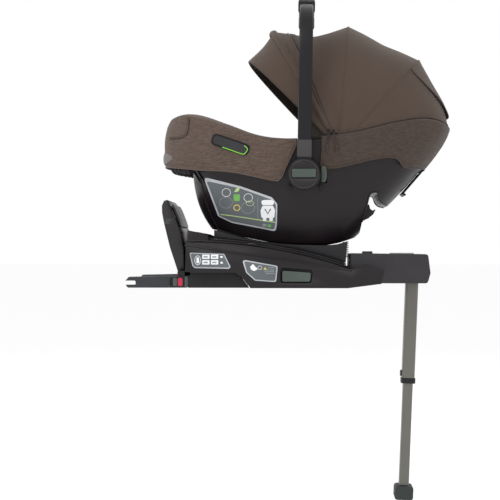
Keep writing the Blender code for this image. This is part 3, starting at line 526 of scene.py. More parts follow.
def pipe(name, points, radius, paint, body=None, sides=10, closed=False, flat=1.0, side=None, **more):
    """A tube through points, round or flattened across side, with rounded ends."""
    points = [Vector(p) for p in points]
    count = len(points)
    sizes = radius if isinstance(radius, list) else [radius] * count
    vertices = []
    across = Vector(side) if side else None
    for k, here in enumerate(points):
        after = points[(k + 1) % count] if closed or k < count - 1 else here
        before = points[k - 1] if closed or k else here
        along = (after - before).normalized()
        if across is None:
            across = along.orthogonal()
        across = (across - along * across.dot(along)).normalized()
        over = along.cross(across).normalized()
        for i in range(sides):
            turn = 2 * math.pi * i / sides
            vertices.append(here + (across * math.cos(turn) + over * flat * math.sin(turn)) * sizes[k])
        if side:
            across = Vector(side)
    rows = count if closed else count - 1
    faces = [tuple(v % (count * sides) for v in face) for face in quads(sides, rows)]
    if not closed:
        for end, sign in ((0, -1), (count - 1, 1)):
            along = (points[end] - points[end - 1 if end else 1]).normalized()
            vertices.append(points[end] + along * sizes[end] * 0.5)
            tip = len(vertices) - 1
            for i in range(sides):
                a, b = end * sides + i, end * sides + (i + 1) % sides
                faces.append((a, b, tip) if sign > 0 else (b, a, tip))
    return place_mesh(name, closed_mesh(name, vertices, faces), paint, body, flat_angle=60.0, **more)


def outline_mesh(name, outline, low, high, plane="XZ"):
    """A flat outline made solid between two depths."""
    curve = bpy.data.curves.new(name, "CURVE")
    curve.dimensions, curve.fill_mode, curve.extrude = "2D", "BOTH", (high - low) / 2
    spline = curve.splines.new("POLY")
    spline.points.add(len(outline) - 1)
    for point, (u, v) in zip(spline.points, outline):
        point.co = (u, v, 0.0, 1.0)
    spline.use_cyclic_u = True
    drawn = bpy.data.objects.new(name, curve)
    bpy.context.scene.collection.objects.link(drawn)
    mesh = bpy.data.meshes.new_from_object(drawn.evaluated_get(bpy.context.evaluated_depsgraph_get()))
    bpy.data.objects.remove(drawn)
    middle = (high + low) / 2
    if plane == "XZ":
        mesh.transform(Matrix(((1, 0, 0, 0), (0, 0, -1, middle), (0, 1, 0, 0), (0, 0, 0, 1))))
    elif plane == "YZ":
        mesh.transform(Matrix(((0, 0, 1, middle), (1, 0, 0, 0), (0, 1, 0, 0), (0, 0, 0, 1))))
    else:
        mesh.transform(Matrix.Translation((0, 0, middle)))
    face_outwards(mesh, weld=1e-6)
    return mesh


def plate(name, outline, low, high, paint, body=None, plane="XZ", bevel=0.0, segments=3, **more):
    made = place_mesh(name, outline_mesh(name, outline, low, high, plane), paint, body, **more)
    if bevel:
        ease_edges(made, bevel, segments)
    return made


def side_plate(name, outline, side, near, far, paint, body, **more):
    """A plate on one side of the object, between two distances from its middle plane."""
    low, high = sorted((side * near, side * far))
    return plate(name, outline, low, high, paint, body, **more)


def ease_edges(item, width, segments=3, angle=32.0):
    """Rounds an object's sharp edges and shades it smooth between them."""
    change = item.modifiers.new("edges", "BEVEL")
    change.width, change.segments, change.limit_method = width, segments, "ANGLE"
    change.angle_limit = math.radians(angle)
    change.harden_normals = True
    apply_modifiers(item)
    item.data.shade_smooth()
    item.data.set_sharp_from_angle(angle=math.radians(50))
    return item


def refined(node, paint, width=0.0012, body=None, slot=None, segments=2):
    """A finer copy of a CAD node: flat facets merged, its sharp edges rounded."""
    mesh = NODES[node].data.copy()
    solid = bmesh.new()
    solid.from_mesh(mesh)
    bmesh.ops.remove_doubles(solid, verts=solid.verts, dist=1e-5)
    bmesh.ops.dissolve_limit(
        solid, angle_limit=math.radians(1.0), verts=solid.verts, edges=solid.edges, use_dissolve_boundaries=False
    )
    bmesh.ops.recalc_face_normals(solid, faces=solid.faces)
    solid.to_mesh(mesh)
    solid.free()
    body = body or body_of(NODES[node])[0]
    made = place_mesh(node + "_fine", mesh, paint, replaces=[node], slot=slot)
    ease_edges(made, width, segments)
    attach(made, body)
    return made


def drape(name, shapes, onto, body, slot=None, step=0.006, thickness=0.0004):
    """Thin shapes laid on a surface. Each is (outline, paint, lift); onto(x, z, lift) gives the point."""
    merged = bmesh.new()
    paints = []
    for outline, paint, lift in shapes:
        if paint not in paints:
            paints.append(paint)
        part = bmesh.new()
        corners = [part.verts.new((u, 0.0, v)) for u, v in outline]
        part.faces.new(corners)
        low = min(v.co.x for v in corners), min(v.co.z for v in corners)
        high = max(v.co.x for v in corners), max(v.co.z for v in corners)
        for axis, lo, hi in ((0, low[0], high[0]), (2, low[1], high[1])):
            normal = Vector((1, 0, 0)) if axis == 0 else Vector((0, 0, 1))
            count = int((hi - lo) / step)
            for k in range(1, count + 1):
                at = lo + (hi - lo) * k / (count + 1)
                whole = part.verts[:] + part.edges[:] + part.faces[:]
                bmesh.ops.bisect_plane(part, geom=whole, plane_co=normal * at, plane_no=normal)
        flat = part.verts[:]
        made = bmesh.ops.extrude_face_region(part, geom=part.faces[:])
        raised = [v for v in made["geom"] if isinstance(v, bmesh.types.BMVert)]
        for vertex in flat:
            vertex.co = onto(vertex.co.x, vertex.co.z, lift)
        for vertex in raised:
            vertex.co = onto(vertex.co.x, vertex.co.z, lift + thickness)
        for face in part.faces:
            face.material_index = paints.index(paint)
        bmesh.ops.recalc_face_normals(part, faces=part.faces)
        temporary = bpy.data.meshes.new("shape")
        part.to_mesh(temporary)
        part.free()
        merged.from_mesh(temporary)
        bpy.data.meshes.remove(temporary)
    mesh = bpy.data.meshes.new(name)
    merged.to_mesh(mesh)
    merged.free()
    made = place_mesh(name, mesh, None, body, slot=slot)
    for paint in paints:
        mesh.materials.append(PAINTS[paint])
    return made


def ribbon(points, width):
    """The outline of a flat line of this width through side-view points."""
    left, right = [], []
    for k, here in enumerate(points):
        here = Vector(here)
        along = (Vector(points[min(k + 1, len(points) - 1)]) - Vector(points[max(k - 1, 0)])).normalized()
        out = Vector((-along[1], along[0])) * width / 2
        left.append(tuple(here + out))
        right.append(tuple(here - out))
    return left + right[::-1]


def ellipse(x, z, a, b, count=18):
    turns = [2 * math.pi * k / count for k in range(count)]
    return [(x + a * math.cos(turn), z + b * math.sin(turn)) for turn in turns]


def rectangle(x0, z0, x1, z1, radius=0.0015):
    return rounded([(x0, z0), (x1, z0), (x1, z1), (x0, z1)], radius, 3)


def repaint(paint, *names):
    for name in names:
        mesh = NODES[name].data
        mesh.materials.clear()
        mesh.materials.append(PAINTS[paint])


# Carrier shell


def bowl(name, paint=None, sides=96, rows=22, top=None, **shape):
    """The carrier's bowl as a closed solid, with flat strips across its mouth and its sole."""
    depths = [math.sin(math.pi / 2 * k / rows) ** 1.2 for k in range(rows + 1)]
    rings = [[bowl_point(2 * math.pi * i / sides, depth, **shape) for i in range(sides)] for depth in depths]
    if top:
        rings.insert(0, [p + Vector((0, 0, top)) for p in rings[0]])
    sole = rings[-1]
    middle = sum(p.x for p in sole) / sides
    for share, drop in ((0.97, 0.0014), (0.90, 0.003)):
        rings.append([Vector((middle + (p.x - middle) * share, p.y * (share - 0.02), p.z - drop)) for p in sole])
    faces = quads(sides, len(rings) - 1)
    for start in (0, (len(rings) - 1) * sides):
        for i in range(sides // 2):
            strip = [i, i + 1, (sides - i - 1) % sides, (sides - i) % sides]
            faces.append(tuple(dict.fromkeys(start + k for k in strip)))
    return place_mesh(name, closed_mesh(name, [p for ring in rings for p in ring], faces), paint)


def cut_away(item, other):
    change = item.modifiers.new("cut", "BOOLEAN")
    change.operation, change.object, change.solver = "DIFFERENCE", other, "EXACT"
    apply_modifiers(item)
    bpy.data.objects.remove(other)
    return item


def cutter(name, outline, reach):
    return place_mesh(name, outline_mesh(name, outline, -reach, reach), None)


def block(name, low, high):
    """A box between two corners, as a cutter."""
    outline = [(low[0], low[2]), (high[0], low[2]), (high[0], high[2]), (low[0], high[2])]
    return place_mesh(name, outline_mesh(name, outline, low[1], high[1]), None)


def carrier_shell():
    shell = bowl("shell_moulding", "shell")
    cut_away(shell, cutter("notch", BELT_NOTCH, 0.25))
    wall = [(x - 0.004, z + 0.004) if x < 0.16 else (x + 0.003, z + 0.004) for x, z in BELT_NOTCH]
    inside = bowl("inside", top=0.05, grow=-WALL)
    cut_away(inside, cutter("notch_wall", wall, 0.3))
    cut_away(shell, inside)
    for _, side in SIDES:
        y = side * 0.064
        cut_away(shell, block("slot", (0.012, y - 0.006, 0.085), (0.052, y + 0.006, 0.110)))
        y = side * 0.170
        cut_away(shell, block("way", (0.0375, y - 0.02, 0.2345), (0.0515, y + 0.02, 0.2725)))
    shell.data.materials.clear()
    shell.data.materials.append(PAINTS["shell"])
    shell.data.shade_smooth()
    shell.data.set_sharp_from_angle(angle=math.radians(32))
    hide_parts("carrier_shell")
    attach(shell, "carrier")
    for name, side in SIDES:
        side_plate(f"belt_hook_{name}", rounded(BELT_HOOK, 0.003, 4), side, 0.088, 0.100, "shell", "carrier",
                   bevel=0.0012)
        lip = [wall_point(x, z, side, 0.0004) for x, z in smooth_path(BELT_NOTCH[1:-2], 60)]
        pipe(f"notch_lip_{name}", lip, 0.0019, "cradle", "carrier")
        ridge = [bowl_point(side * math.radians(150), 0.30 + 0.69 * k / 40, 0.0003) for k in range(41)]
        pipe(f"shell_ridge_{name}", ridge, 0.0013, "shell", "carrier")
        for x, tilt in ((-0.0300, -1), (0.0345, 1)):
            foot = tilt * 0.003
            tab = [(x - 0.004, 0.2285), (x + 0.004, 0.2285), (x + 0.004 + foot, 0.2160), (x - 0.003 + foot, 0.2160)]
            end = "back" if x > 0 else "front"
            side_plate(f"hub_bracket_{name}_{end}", rounded(tab, 0.002, 3), side, 0.1690, 0.1880, "ring",
                       "carrier", bevel=0.0008)
        disc = ellipse(*HANDLE_AXIS, 0.0300, 0.0300, 48)
        side_plate(f"hub_boss_{name}", disc, side, 0.157, 0.1885, "shell", "carrier", bevel=0.001)


def smooth_path(points, count):
    """Evenly spread points on a smooth curve through side-view points."""
    knots = [Vector(p) for p in points]
    lengths = [0.0]
    for a, b in zip(knots, knots[1:]):
        lengths.append(lengths[-1] + (b - a).length)
    made = []
    for k in range(count + 1):
        at = lengths[-1] * k / count
        i = min(max(j for j in range(len(knots) - 1) if lengths[j] <= at + 1e-12), len(knots) - 2)
        u = (at - lengths[i]) / (lengths[i + 1] - lengths[i])
        p0, p1, p2, p3 = knots[max(i - 1, 0)], knots[i], knots[i + 1], knots[min(i + 2, len(knots) - 1)]
        made.append(tuple(
            0.5 * (2 * p1 + (p2 - p0) * u + (2 * p0 - 5 * p1 + 4 * p2 - p3) * u**2
                   + (3 * p1 - p0 - 3 * p2 + p3) * u**3)
        ))
    return made


# Seat cover, seat pad and harness


def cut_hem(x):
    """The foot cover's lower edge, which slants up behind the carry handle's arm."""
    return foot_hem(x) if x < -0.057 else foot_corner(x)


def cover_point(angle, share, head):
    """A point of the seat cover's outer face: share 0 is its hem, COVER_RIM the rim, 1 its inner end."""
    rim, low = bowl_point(angle, 0.0), bowl_point(angle, 1.0)
    if head:
        hem = head_hem(rim.x) + 0.016 * max(0.0, (0.047 - rim.x) / 0.0165) ** 2
    else:
        hem = cut_hem(rim.x)
    fall = (rim.z - hem) / (rim.z - low.z)
    if share <= COVER_RIM:
        v = 1 - share / COVER_RIM
        puff = 0.0018 * math.sin(math.pi * min(1.0, v * 1.02)) ** 0.6
        point = bowl_point(angle, fall * v, grow=0.0068 + puff, tuck=0.0)
        if not head:
            point.x -= 0.034 * v * max(0.0, -math.cos(angle)) ** 4
        return point
    if share <= COVER_ROLL:
        turn = math.pi * (share - COVER_RIM) / 0.20
        point = bowl_point(angle, 0.0, grow=-0.0138 + 0.0206 * math.cos(turn))
        point.z += 0.0072 * math.sin(turn)
        return point
    v = (share - COVER_ROLL) / 0.18
    return bowl_point(angle, 0.20 * v, grow=-0.0344)


def seat_cover(name, head, middle, span):
    """One padded piece over the rim, span degrees to each side of middle, with its piping and hem stitches."""

    def turned(u, part=1.0):
        return math.radians(middle + span * part * (2 * u - 1))

    def place(u, v):
        angle = turned(u)
        point = cover_point(angle, v, head)
        ruck = noise.noise(point * 22.0) * 0.0011 + noise.noise(point * 60.0) * 0.0004
        out = Vector((math.cos(angle), math.sin(angle), 0.2))
        return point + out * ruck * min(1.0, 6 * v)

    cloth_paint, edge_paint = ("head_cloth", "binding") if head else ("seat_cloth", "piping")
    made = grid(name, place, 132, 34, cloth_paint, -0.0038, replaces=[f"seat_{name}"],
                slot="brown_fabric", body="carrier", ease=0.0008)
    hem = [cover_point(turned(k / 160), 0.0, head) for k in range(161)]
    left = [cover_point(turned(0), COVER_RIM - COVER_RIM * k / 16, head) for k in range(16)]
    right = [cover_point(turned(1), COVER_RIM * k / 16, head) for k in range(1, 17)]
    pipe(f"{name}_piping", left + hem + right, 0.0016, edge_paint, "carrier")
    stitch_line(f"{name}_hem_stitch", [cover_point(turned(k / 160, 0.985), 0.045, head) for k in range(161)])


def stitch_line(name, points, length=0.0032, gap=0.0016, radius=0.00042):
    """A row of separate raised stitches along a path on the carrier, as one mesh."""
    points = [Vector(p) for p in points]
    distances = [0.0]
    for a, b in zip(points, points[1:]):
        distances.append(distances[-1] + (b - a).length)

    def at(d):
        i = max(k for k in range(len(points) - 1) if distances[k] <= d + 1e-12)
        step = distances[i + 1] - distances[i]
        return points[i].lerp(points[i + 1], (d - distances[i]) / step if step else 0.0)

    vertices, faces = [], []
    for k in range(int(distances[-1] / (length + gap))):
        a, b = at(k * (length + gap)), at(k * (length + gap) + length)
        along = (b - a).normalized()
        side = along.cross(Vector((0, 0, 1)) if abs(along.z) < 0.9 else Vector((1, 0, 0))).normalized()
        over = side.cross(along)
        start = len(vertices)
        for end, size in ((a, 0.3), (a.lerp(b, 0.2), 1.0), (a.lerp(b, 0.8), 1.0), (b, 0.3)):
            for i in range(4):
                turn = math.pi / 2 * i
                vertices.append(end + (side * math.cos(turn) + over * math.sin(turn)) * radius * size)
        for j in range(3):
            for i in range(4):
                c, d = start + j * 4, start + j * 4 + 4
                faces.append((c + i, c + (i + 1) % 4, d + (i + 1) % 4, d + i))
        faces += [tuple(start + i for i in (3, 2, 1, 0)), tuple(start + 12 + i for i in range(4))]
    place_mesh(name, built_mesh(name, vertices, faces), "thread", "carrier")


def inflate(item, voxel, cap, pressure=4.0, frames=20):
    """Remeshes a closed pad and lets a cloth simulation fill it, moving no point further than cap."""
    change = item.modifiers.new("remesh", "REMESH")
    change.mode, change.voxel_size = "VOXEL", voxel
    apply_modifiers(item)
    rest = [v.co.copy() for v in item.data.vertices]
    change = item.modifiers.new("cloth", "CLOTH")
    settings = change.settings
    settings.quality, settings.mass, settings.air_damping = 4, 0.15, 6.0
    settings.tension_stiffness, settings.compression_stiffness = 12.0, 12.0
    settings.use_pressure, settings.uniform_pressure_force = True, pressure
    settings.effector_weights.gravity = 0.0
    change.point_cache.frame_start, change.point_cache.frame_end = 1, frames
    for frame_number in range(1, frames + 1):
        bpy.context.scene.frame_set(frame_number)
    graph = bpy.context.evaluated_depsgraph_get()
    swollen = [v.co.copy() for v in item.evaluated_get(graph).data.vertices]
    item.modifiers.clear()
    for vertex, start, end in zip(item.data.vertices, rest, swollen):
        move = end - start
        vertex.co = start + (move if move.length <= cap else move * (cap / move.length))
    bpy.context.scene.frame_set(1)
    change = item.modifiers.new("smooth", "SMOOTH")
    change.factor, change.iterations = 0.5, 3
    change = item.modifiers.new("fine", "SUBSURF")
    change.levels = change.render_levels = 1
    apply_modifiers(item)
    item.data.shade_smooth()


def quilt_grooves(pad, width=0.0035, depth=0.0030, top=0.322):
    """Presses sewn channels into the pad's inner face: twelve ribs and one ring."""
    moves = []
    for vertex in pad.data.vertices:
        x, y, z = vertex.co
        turn = math.atan2(y / 0.14, (x - RIM_MID) / 0.29)
        inward = -(vertex.normal.x * math.cos(turn) + vertex.normal.y * math.sin(turn)) + vertex.normal.z
        if inward < 0.25 or z > top:
            moves.append(0.0)
            continue
        radius = math.hypot(x - RIM_MID, y)
        apart = abs((math.degrees(turn) + 360.0) % 30.0 - 15.0)
        across = radius * math.sin(math.radians(apart))
        rib = math.exp(-((across / width) ** 2)) * min(max((radius - 0.055) / 0.02, 0.0), 1.0)
        ring = math.exp(-(((z - 0.275) / width) ** 2))
        moves.append(-depth * max(rib, ring))
    normals = [v.normal.copy() for v in pad.data.vertices]
    for vertex, normal, move in zip(pad.data.vertices, normals, moves):
        vertex.co += normal * move


def seat_pad():
    pad = bowl("seat_pad", "quilt", 64, 14, grow=-0.0185, sole=LINER_SOLE, lift=0.044, rise=-0.003)
    hollow = bowl("pad_hollow", None, 64, 14, top=0.05, grow=-0.0315, sole=LINER_SOLE, lift=0.0455)
    cut_away(pad, hollow)
    inflate(pad, 0.0055, 0.0045)
    quilt_grooves(pad)
    pad.data.materials.clear()
    pad.data.materials.append(PAINTS["quilt"])
    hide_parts("seat_liner")
    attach(pad, "carrier")
    ring = [bowl_point(2 * math.pi * k / 120, 0.215, grow=-0.0352) for k in range(120)]
    pipe("seat_pad_welt", ring, 0.0022, "binding", "carrier", closed=True)


def head_shade_panels():
    """Dark lining panels standing up inside the canopy on both sides: painted shade standing for the canopy's shadowed
    interior.
    """
    for name, side in SIDES:
        def place(u, v):
            angle = side * math.radians(89.9 - 32.0 * u ** 0.8)
            high = 0.050 * (1 - 0.75 * u) * (1 - 0.12 * math.sin(math.pi * v))
            point = bowl_point(angle, 0.0, grow=-0.0125, rise=0.002 + high * v)
            return point + Vector((0.0, -side * 0.010 * v * v, 0.0))

        # Painted shade: a dark lining-coloured sheet where the canopy's interior lies in shadow.
        made = grid(f"head_shade_panel_{name}", place, 40, 12, "lining", 0.0030, body="carrier", slot="lining_fabric",
                    ease=0.0008)


def harness():
    for name, side in SIDES:
        def line(v):
            return Vector((-0.040 + 0.215 * v, side * (0.030 + 0.030 * v), 0.228 + 0.067 * max(v, 0.0) ** 1.5))

        def strap(u, v):
            return line(-0.02 + 1.10 * v) + Vector((0, (u - 0.5) * 0.037, 0.0))

        grid(f"harness_strap_{name}", strap, 4, 40, "webbing", -0.0016, replaces=[f"shoulder_strap_{name}"],
             slot="webbing", body="carrier")

        def pad(u, v):
            at = line(0.26 + 0.64 * v)
            edge = (1 - abs(2 * u - 1) ** 6) ** 0.5 * (1 - abs(2 * v - 1) ** 14) ** 0.5
            return at + Vector((0, (u - 0.5) * 0.050, -0.0004 + 0.0050 * edge))

        made = grid(f"harness_pad_{name}", pad, 16, 40, "quilt", -0.0048, body="carrier", ease=0.001)
        for edge in (0.14, 0.86):
            row = [pad(edge, 0.05 + 0.90 * k / 40) + Vector((0, 0, 0.0004)) for k in range(41)]
            stitch_line(f"harness_pad_{name}_stitch_{'in' if edge < 0.5 else 'out'}", row)

    def crotch(u, v):
        return Vector((-0.0562 - 0.0006 * v, (u - 0.5) * 0.037, 0.1805 + 0.0260 * v))

    grid("crotch_webbing", crotch, 4, 10, "webbing", 0.0018, replaces=["crotch_strap"], slot="webbing",
         body="carrier")


def on_foot_cover(x, z, side, lift):
    """The point of the foot cover's face at a side-view position."""

    def at(angle):
        low, high = 0.0, COVER_RIM
        for _ in range(16):
            share = (low + high) / 2
            low, high = (low, share) if cover_point(angle, share, False).z > z else (share, high)
        return cover_point(angle, low, False)

    low, high = math.radians(92.0), math.radians(179.5)
    for _ in range(18):
        middle = (low + high) / 2
        low, high = (middle, high) if at(middle).x > x else (low, middle)
    point = at(low)
    out = Vector((math.cos(low), math.sin(low), 0.25)).normalized() * lift
    return Vector((point.x + out.x, side * (point.y + out.y), point.z + out.z))


def cover_line(points, side, lift):
    return [on_foot_cover(x, z, side, lift) for x, z in smooth_path(points, 40)]


def cover_details():
    for name, side in SIDES:
        patch = ((-0.2600, 0.3850), (-0.2610, 0.3640), (-0.2650, 0.3490), (-0.2750, 0.3420), (-0.2900, 0.3400),
                 (-0.3080, 0.3410))
        pipe(f"corner_seam_{name}", cover_line(patch, side, 0.0014), 0.0011, "thread", "carrier", sides=6)
        inner = [(x - 0.0035, z + 0.0035) for x, z in patch]
        stitch_line(f"corner_stitch_{name}", cover_line(inner, side, 0.0018))

        def on_cover(x, z, lift, side=side):
            return wall_point(x, z, side, 0.0078 + lift, 0.0)

        body_line = rounded([(-0.2035, 0.3490), (-0.1175, 0.3180), (-0.1280, 0.2940), (-0.2110, 0.3235)], 0.0115, 7)
        face = rounded([(-0.1995, 0.3440), (-0.1225, 0.3158), (-0.1310, 0.2985), (-0.2060, 0.3265)], 0.0085, 7)
        lime = smooth_path(((-0.1830, 0.3158), (-0.1580, 0.3066), (-0.1370, 0.2992), (-0.1315, 0.3004),
                            (-0.1258, 0.3085), (-0.1265, 0.3120), (-0.1330, 0.3180)), 30)
        drape(f"belt_guide_plate_{name}", [(body_line, "ring", -0.0010), (face, "badge", 0.0026)], on_cover, "carrier",
              slot="soft_black", step=0.005, thickness=0.0036)
        drape(f"belt_guide_line_{name}", [(ribbon(lime, 0.0017), "lime", 0.0058)], on_cover, "carrier", step=0.005,
              thickness=0.0008)
        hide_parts(f"belt_guide_{name}")
    points, sizes = [], []
    for k in range(61):
        angle = math.radians(146 + 68 * k / 60)
        hem = cover_point(angle, 0.0, False)
        wall = bowl_point(angle, (bowl_point(angle, 0.0).z - hem.z) / 0.238)
        points.append(Vector((hem.x * 0.62 + wall.x * 0.38, hem.y * 0.94, hem.z - 0.0010)))
        sizes.append(0.0125 + 0.0014 * math.sin(1.9 * k) + 0.0008 * math.sin(3.1 * k))
    pipe("cover_tuck", points, sizes, "gather", "carrier", sides=16, flat=0.85, side=(0.0, 0.0, 1.0))
    for name, side in SIDES:
        for k, x in enumerate((-0.2480, -0.2380)):
            run = [(x - 0.006, 0.2660), (x, 0.2560), (x + 0.010, 0.2400)]
            line = [wall_point(u, v, side, 0.0012) for u, v in smooth_path(run, 14)]
            pipe(f"elastic_{name}_{k}", line, 0.0018, "ring", "carrier", sides=8)
    puff = [cover_point(math.radians(158 + 44 * k / 40), 0.13, False) + Vector((0.001, 0.0, 0.0)) for k in range(41)]
    sizes = [0.0030 + 0.0120 * math.sin(math.pi * k / 40) ** 0.5 for k in range(41)]
    pipe("cover_puff", puff, sizes, "puff", "carrier", sides=16, flat=0.30, side=(0.0, 0.0, 1.0))


# Canopy


def canopy_angle(point):
    return math.atan2(point.z - CANOPY_AXIS[1], point.x - CANOPY_AXIS[0])


def follow_fold(item, low_body, high_body, low, high):
    """The piece turns with two bows, each point by its share of the angle between them."""
    rest = [v.co.copy() for v in item.data.vertices]
    for vertex, point in zip(item.data.vertices, rest):
        share = min(max((canopy_angle(point) - low) / (high - low), 0.0), 1.0)
        vertex.co = (0.5 - math.sin(math.asin(1 - 2 * share) / 3), 0.0, 0.0)
    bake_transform(item, low_body, high_body, start=(0, 0, 0), end=(1, 0, 0))
    for vertex, point in zip(item.data.vertices, rest):
        vertex.co = point
    item.data.update()


def declare_cloth(item):
    """Works out half the summed face area of a cloth panel; the result is not kept."""
    solid = bmesh.new()
    solid.from_mesh(item.data)
    area = sum(f.calc_area() for f in solid.faces) / 2
    solid.free()


def canopy_cloth(name, first, last, columns=110, rows=26, lift=0.0, paint="canopy_cloth", ripple=0.0,
                 thickness=-0.0012):
    """A panel stretched between two bow angles, with soft pulls near its lower corners."""
    starts = {}

    def place(u, v):
        angle = first + (last - first) * v
        key = round(v * rows)
        if key not in starts:
            starts[key] = first_turn(angle, canopy_reach(angle), 0.008)
        start = starts[key]
        turn = start + (math.pi - 2 * start) * u
        edge = 4 * v * (1 - v)
        low = math.exp(-((min(u, 1 - u) / 0.16) ** 2))
        pull = 0.0016 * edge * low * math.sin(9 * u * math.pi + 5 * v)
        soft = noise.noise(Vector((u * 5, v * 3, first * 7))) * 0.0016 * edge
        reach = canopy_reach(angle) + 0.0026 + lift + pull + soft + ripple * math.sin(u * 150) * (0.3 + 0.7 * v)
        return canopy_point(angle, turn, reach, CANOPY_WIDTH + 0.0014 + lift + pull)

    return grid(name, place, columns, rows, paint, thickness)


def rear_point(u, v, lift=0.0):
    """A point of the rear panel: v runs from the rear bow down to the rim."""
    angle = REAR_BOW[0]
    reach = canopy_reach(angle)
    start = first_turn(angle, reach, 0.006)
    end_x = canopy_point(angle, start, reach).x
    widest = math.acos(((end_x - RIM_MID) / RIM_HALF) ** (2.8 / 2))
    top = canopy_point(angle, start + (math.pi - 2 * start) * u, reach + 0.0026, CANOPY_WIDTH + 0.0014)
    low = bowl_point(widest * (2 * u - 1), 0.0, grow=0.0, rise=0.0065)
    point = top.lerp(low, v)
    swell = 0.012 * 4 * v * v * (1 - v) * math.sin(math.pi * u)
    soft = noise.noise(Vector((u * 4, v * 3, 2.0))) * 0.0016 * 4 * v * (1 - v)
    out = Vector((point.x - 0.10, point.y, point.z - 0.34)).normalized()
    return point + Vector((swell, 0.0, swell * 0.4)) + out * (lift + soft)


def arch(angle, start, reach, width, count=120):
    """A bow's arch over the carrier, from its right end to its left."""
    return [canopy_point(angle, start + (math.pi - 2 * start) * k / count, reach, width) for k in range(count + 1)]


def bow_side(angle):
    return Vector((-math.sin(angle), 0.0, math.cos(angle)))


def bow_seam(name, station, radius, body, paint="canopy_cloth", lift=0.0006, flat=0.75):
    angle, reach = station
    start = first_turn(angle, reach, 0.008)
    points = arch(angle, start, reach + 0.0030 + lift, CANOPY_WIDTH + 0.0020 + lift)
    pipe(name, points, radius, paint, body, side=bow_side(angle), flat=flat)


def canopy():
    degree = math.radians(1)
    rear = grid("canopy_rear_cloth", rear_point, 110, 26, "canopy_cloth", -0.0012, replaces=["canopy_rear"],
                slot="canopy_fabric", body="carrier")
    declare_cloth(rear)
    for part, fore, aft, bows, bodies in (
        ("mid", MID_BOW[0], REAR_BOW[0], ["bow_mid", "bow_rear"], ("carrier", "canopy_middle")),
        ("front", FRONT_BOW[0], MID_BOW[0], ["bow_front", "bow_mid"], ("canopy_middle", "canopy_brow")),
    ):
        panel = canopy_cloth(f"canopy_{part}_cloth", fore - 0.15 * degree, aft + 0.15 * degree)
        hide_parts(f"canopy_{part}")
        declare_cloth(panel)
        follow_fold(panel, *bodies, aft, fore)

    visor = canopy_cloth("canopy_visor_cloth", VISOR_EDGE[0], FRONT_BOW[0] + 0.15 * degree)
    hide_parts("canopy_visor")
    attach(visor, "canopy_brow")
    declare_cloth(visor)
    lining = canopy_cloth("visor_lining", VISOR_EDGE[0] - 0.4 * degree, FRONT_BOW[0] + 1.2 * degree, 260, 14, -0.0050,
                          "lining", ripple=0.0010, thickness=-0.0008)
    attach(lining, "canopy_brow")
    declare_cloth(lining)
    bow_seam("visor_edge_binding", VISOR_EDGE, 0.0022, "canopy_brow", "binding", -0.0012, 1.0)
    bow_seam("seam_mid", MID_BOW, 0.0016, "canopy_middle")
    bow_seam("seam_rear", REAR_BOW, 0.0015, "carrier")
    sun_roll()
    zip_line()
    vent_flap()
    welt = [bowl_point(math.radians(-84 + 168 * k / 140), 0.0, grow=0.0010, rise=0.0078) for k in range(141)]
    pipe("canopy_welt", welt, 0.0020, "binding", "carrier")


def sun_roll():
    """The folded-back sun panel, rolled into a band along the front bow."""
    angle, reach = FRONT_BOW[0] + math.radians(0.9), FRONT_BOW[1] + 0.0035
    start = first_turn(angle, reach, 0.010)
    sizes = [0.0050 + 0.0040 * math.sin(start + (math.pi - 2 * start) * k / 120) ** 2 for k in range(121)]
    points = arch(angle, start, reach, CANOPY_WIDTH + 0.0040)
    made = pipe("brow_roll", points, sizes, "canopy_cloth", "canopy_brow", side=bow_side(angle), flat=0.72, sides=16,
                slot="canopy_fabric")


def zip_line():
    """The zip behind the roll: a tape, two flaps and teeth over the arch, with two sliders at each end."""
    angle = math.radians(111.6)
    start = first_turn(angle, canopy_reach(angle), 0.014)
    ends = (MID_BOW[0], FRONT_BOW[0])
    for name, shift, radius, flat, lift, paint in (
        ("zip_tape", 0.0, 0.0052, 0.16, 0.0030, "binding"),
        ("zip_flap_front", 1.25, 0.0034, 0.42, 0.0036, "canopy_cloth"),
        ("zip_flap_back", -1.25, 0.0030, 0.42, 0.0034, "canopy_cloth"),
    ):
        at = angle + math.radians(shift)
        points = arch(at, start, canopy_reach(at) + lift, CANOPY_WIDTH + lift - 0.001)
        made = pipe(name, points, radius, paint, side=bow_side(angle), flat=flat)
        follow_fold(made, "canopy_middle", "canopy_brow", *ends)
    points = arch(angle, start, canopy_reach(angle) + 0.0042, CANOPY_WIDTH + 0.0030, 480)
    teeth = pipe("zip_teeth", points, [0.0013 if k % 2 else 0.0008 for k in range(481)], "ring", sides=6)
    follow_fold(teeth, "canopy_middle", "canopy_brow", *ends)
    for name, side in SIDES:
        for k, (x, z, swing) in enumerate(((0.0545, 0.3490, -0.0015), (0.0660, 0.3475, 0.0030))):
            out = 0.1865 if k else 0.1850
            y = side * out
            body = [(x - 0.0032, z + 0.0050), (x + 0.0032, z + 0.0050), (x + 0.0026, z - 0.0060),
                    (x - 0.0026, z - 0.0060)]
            side_plate(f"zip_slider_{name}_{k}", rounded(body, 0.0012, 3), side, out - 0.0035, out, "ring", "carrier",
                       bevel=0.0006)
            loop = []
            for j in range(25):
                turn = 2 * math.pi * j / 24
                loop.append((x + swing * (1 - math.cos(turn)) + 0.0024 * math.sin(turn), y + side * 0.0012,
                             z - 0.0050 - 0.0125 * (1 - math.cos(turn))))
            pipe(f"zip_loop_{name}_{k}", loop[:-1], 0.0009, "binding", "carrier", closed=True, sides=8)
            tip = Vector((x + 2 * swing, y + side * 0.0012, z - 0.0300))
            tab = [tip + Vector((swing * 0.3 * j / 8, 0, -0.0170 * j / 8)) for j in range(9)]
            sizes = [0.0014, 0.0026, 0.0022, 0.0018, 0.0017, 0.0017, 0.0018, 0.0021, 0.0017]
            pipe(f"zip_pull_{name}_{k}", tab, sizes, "binding", "carrier", flat=0.8)


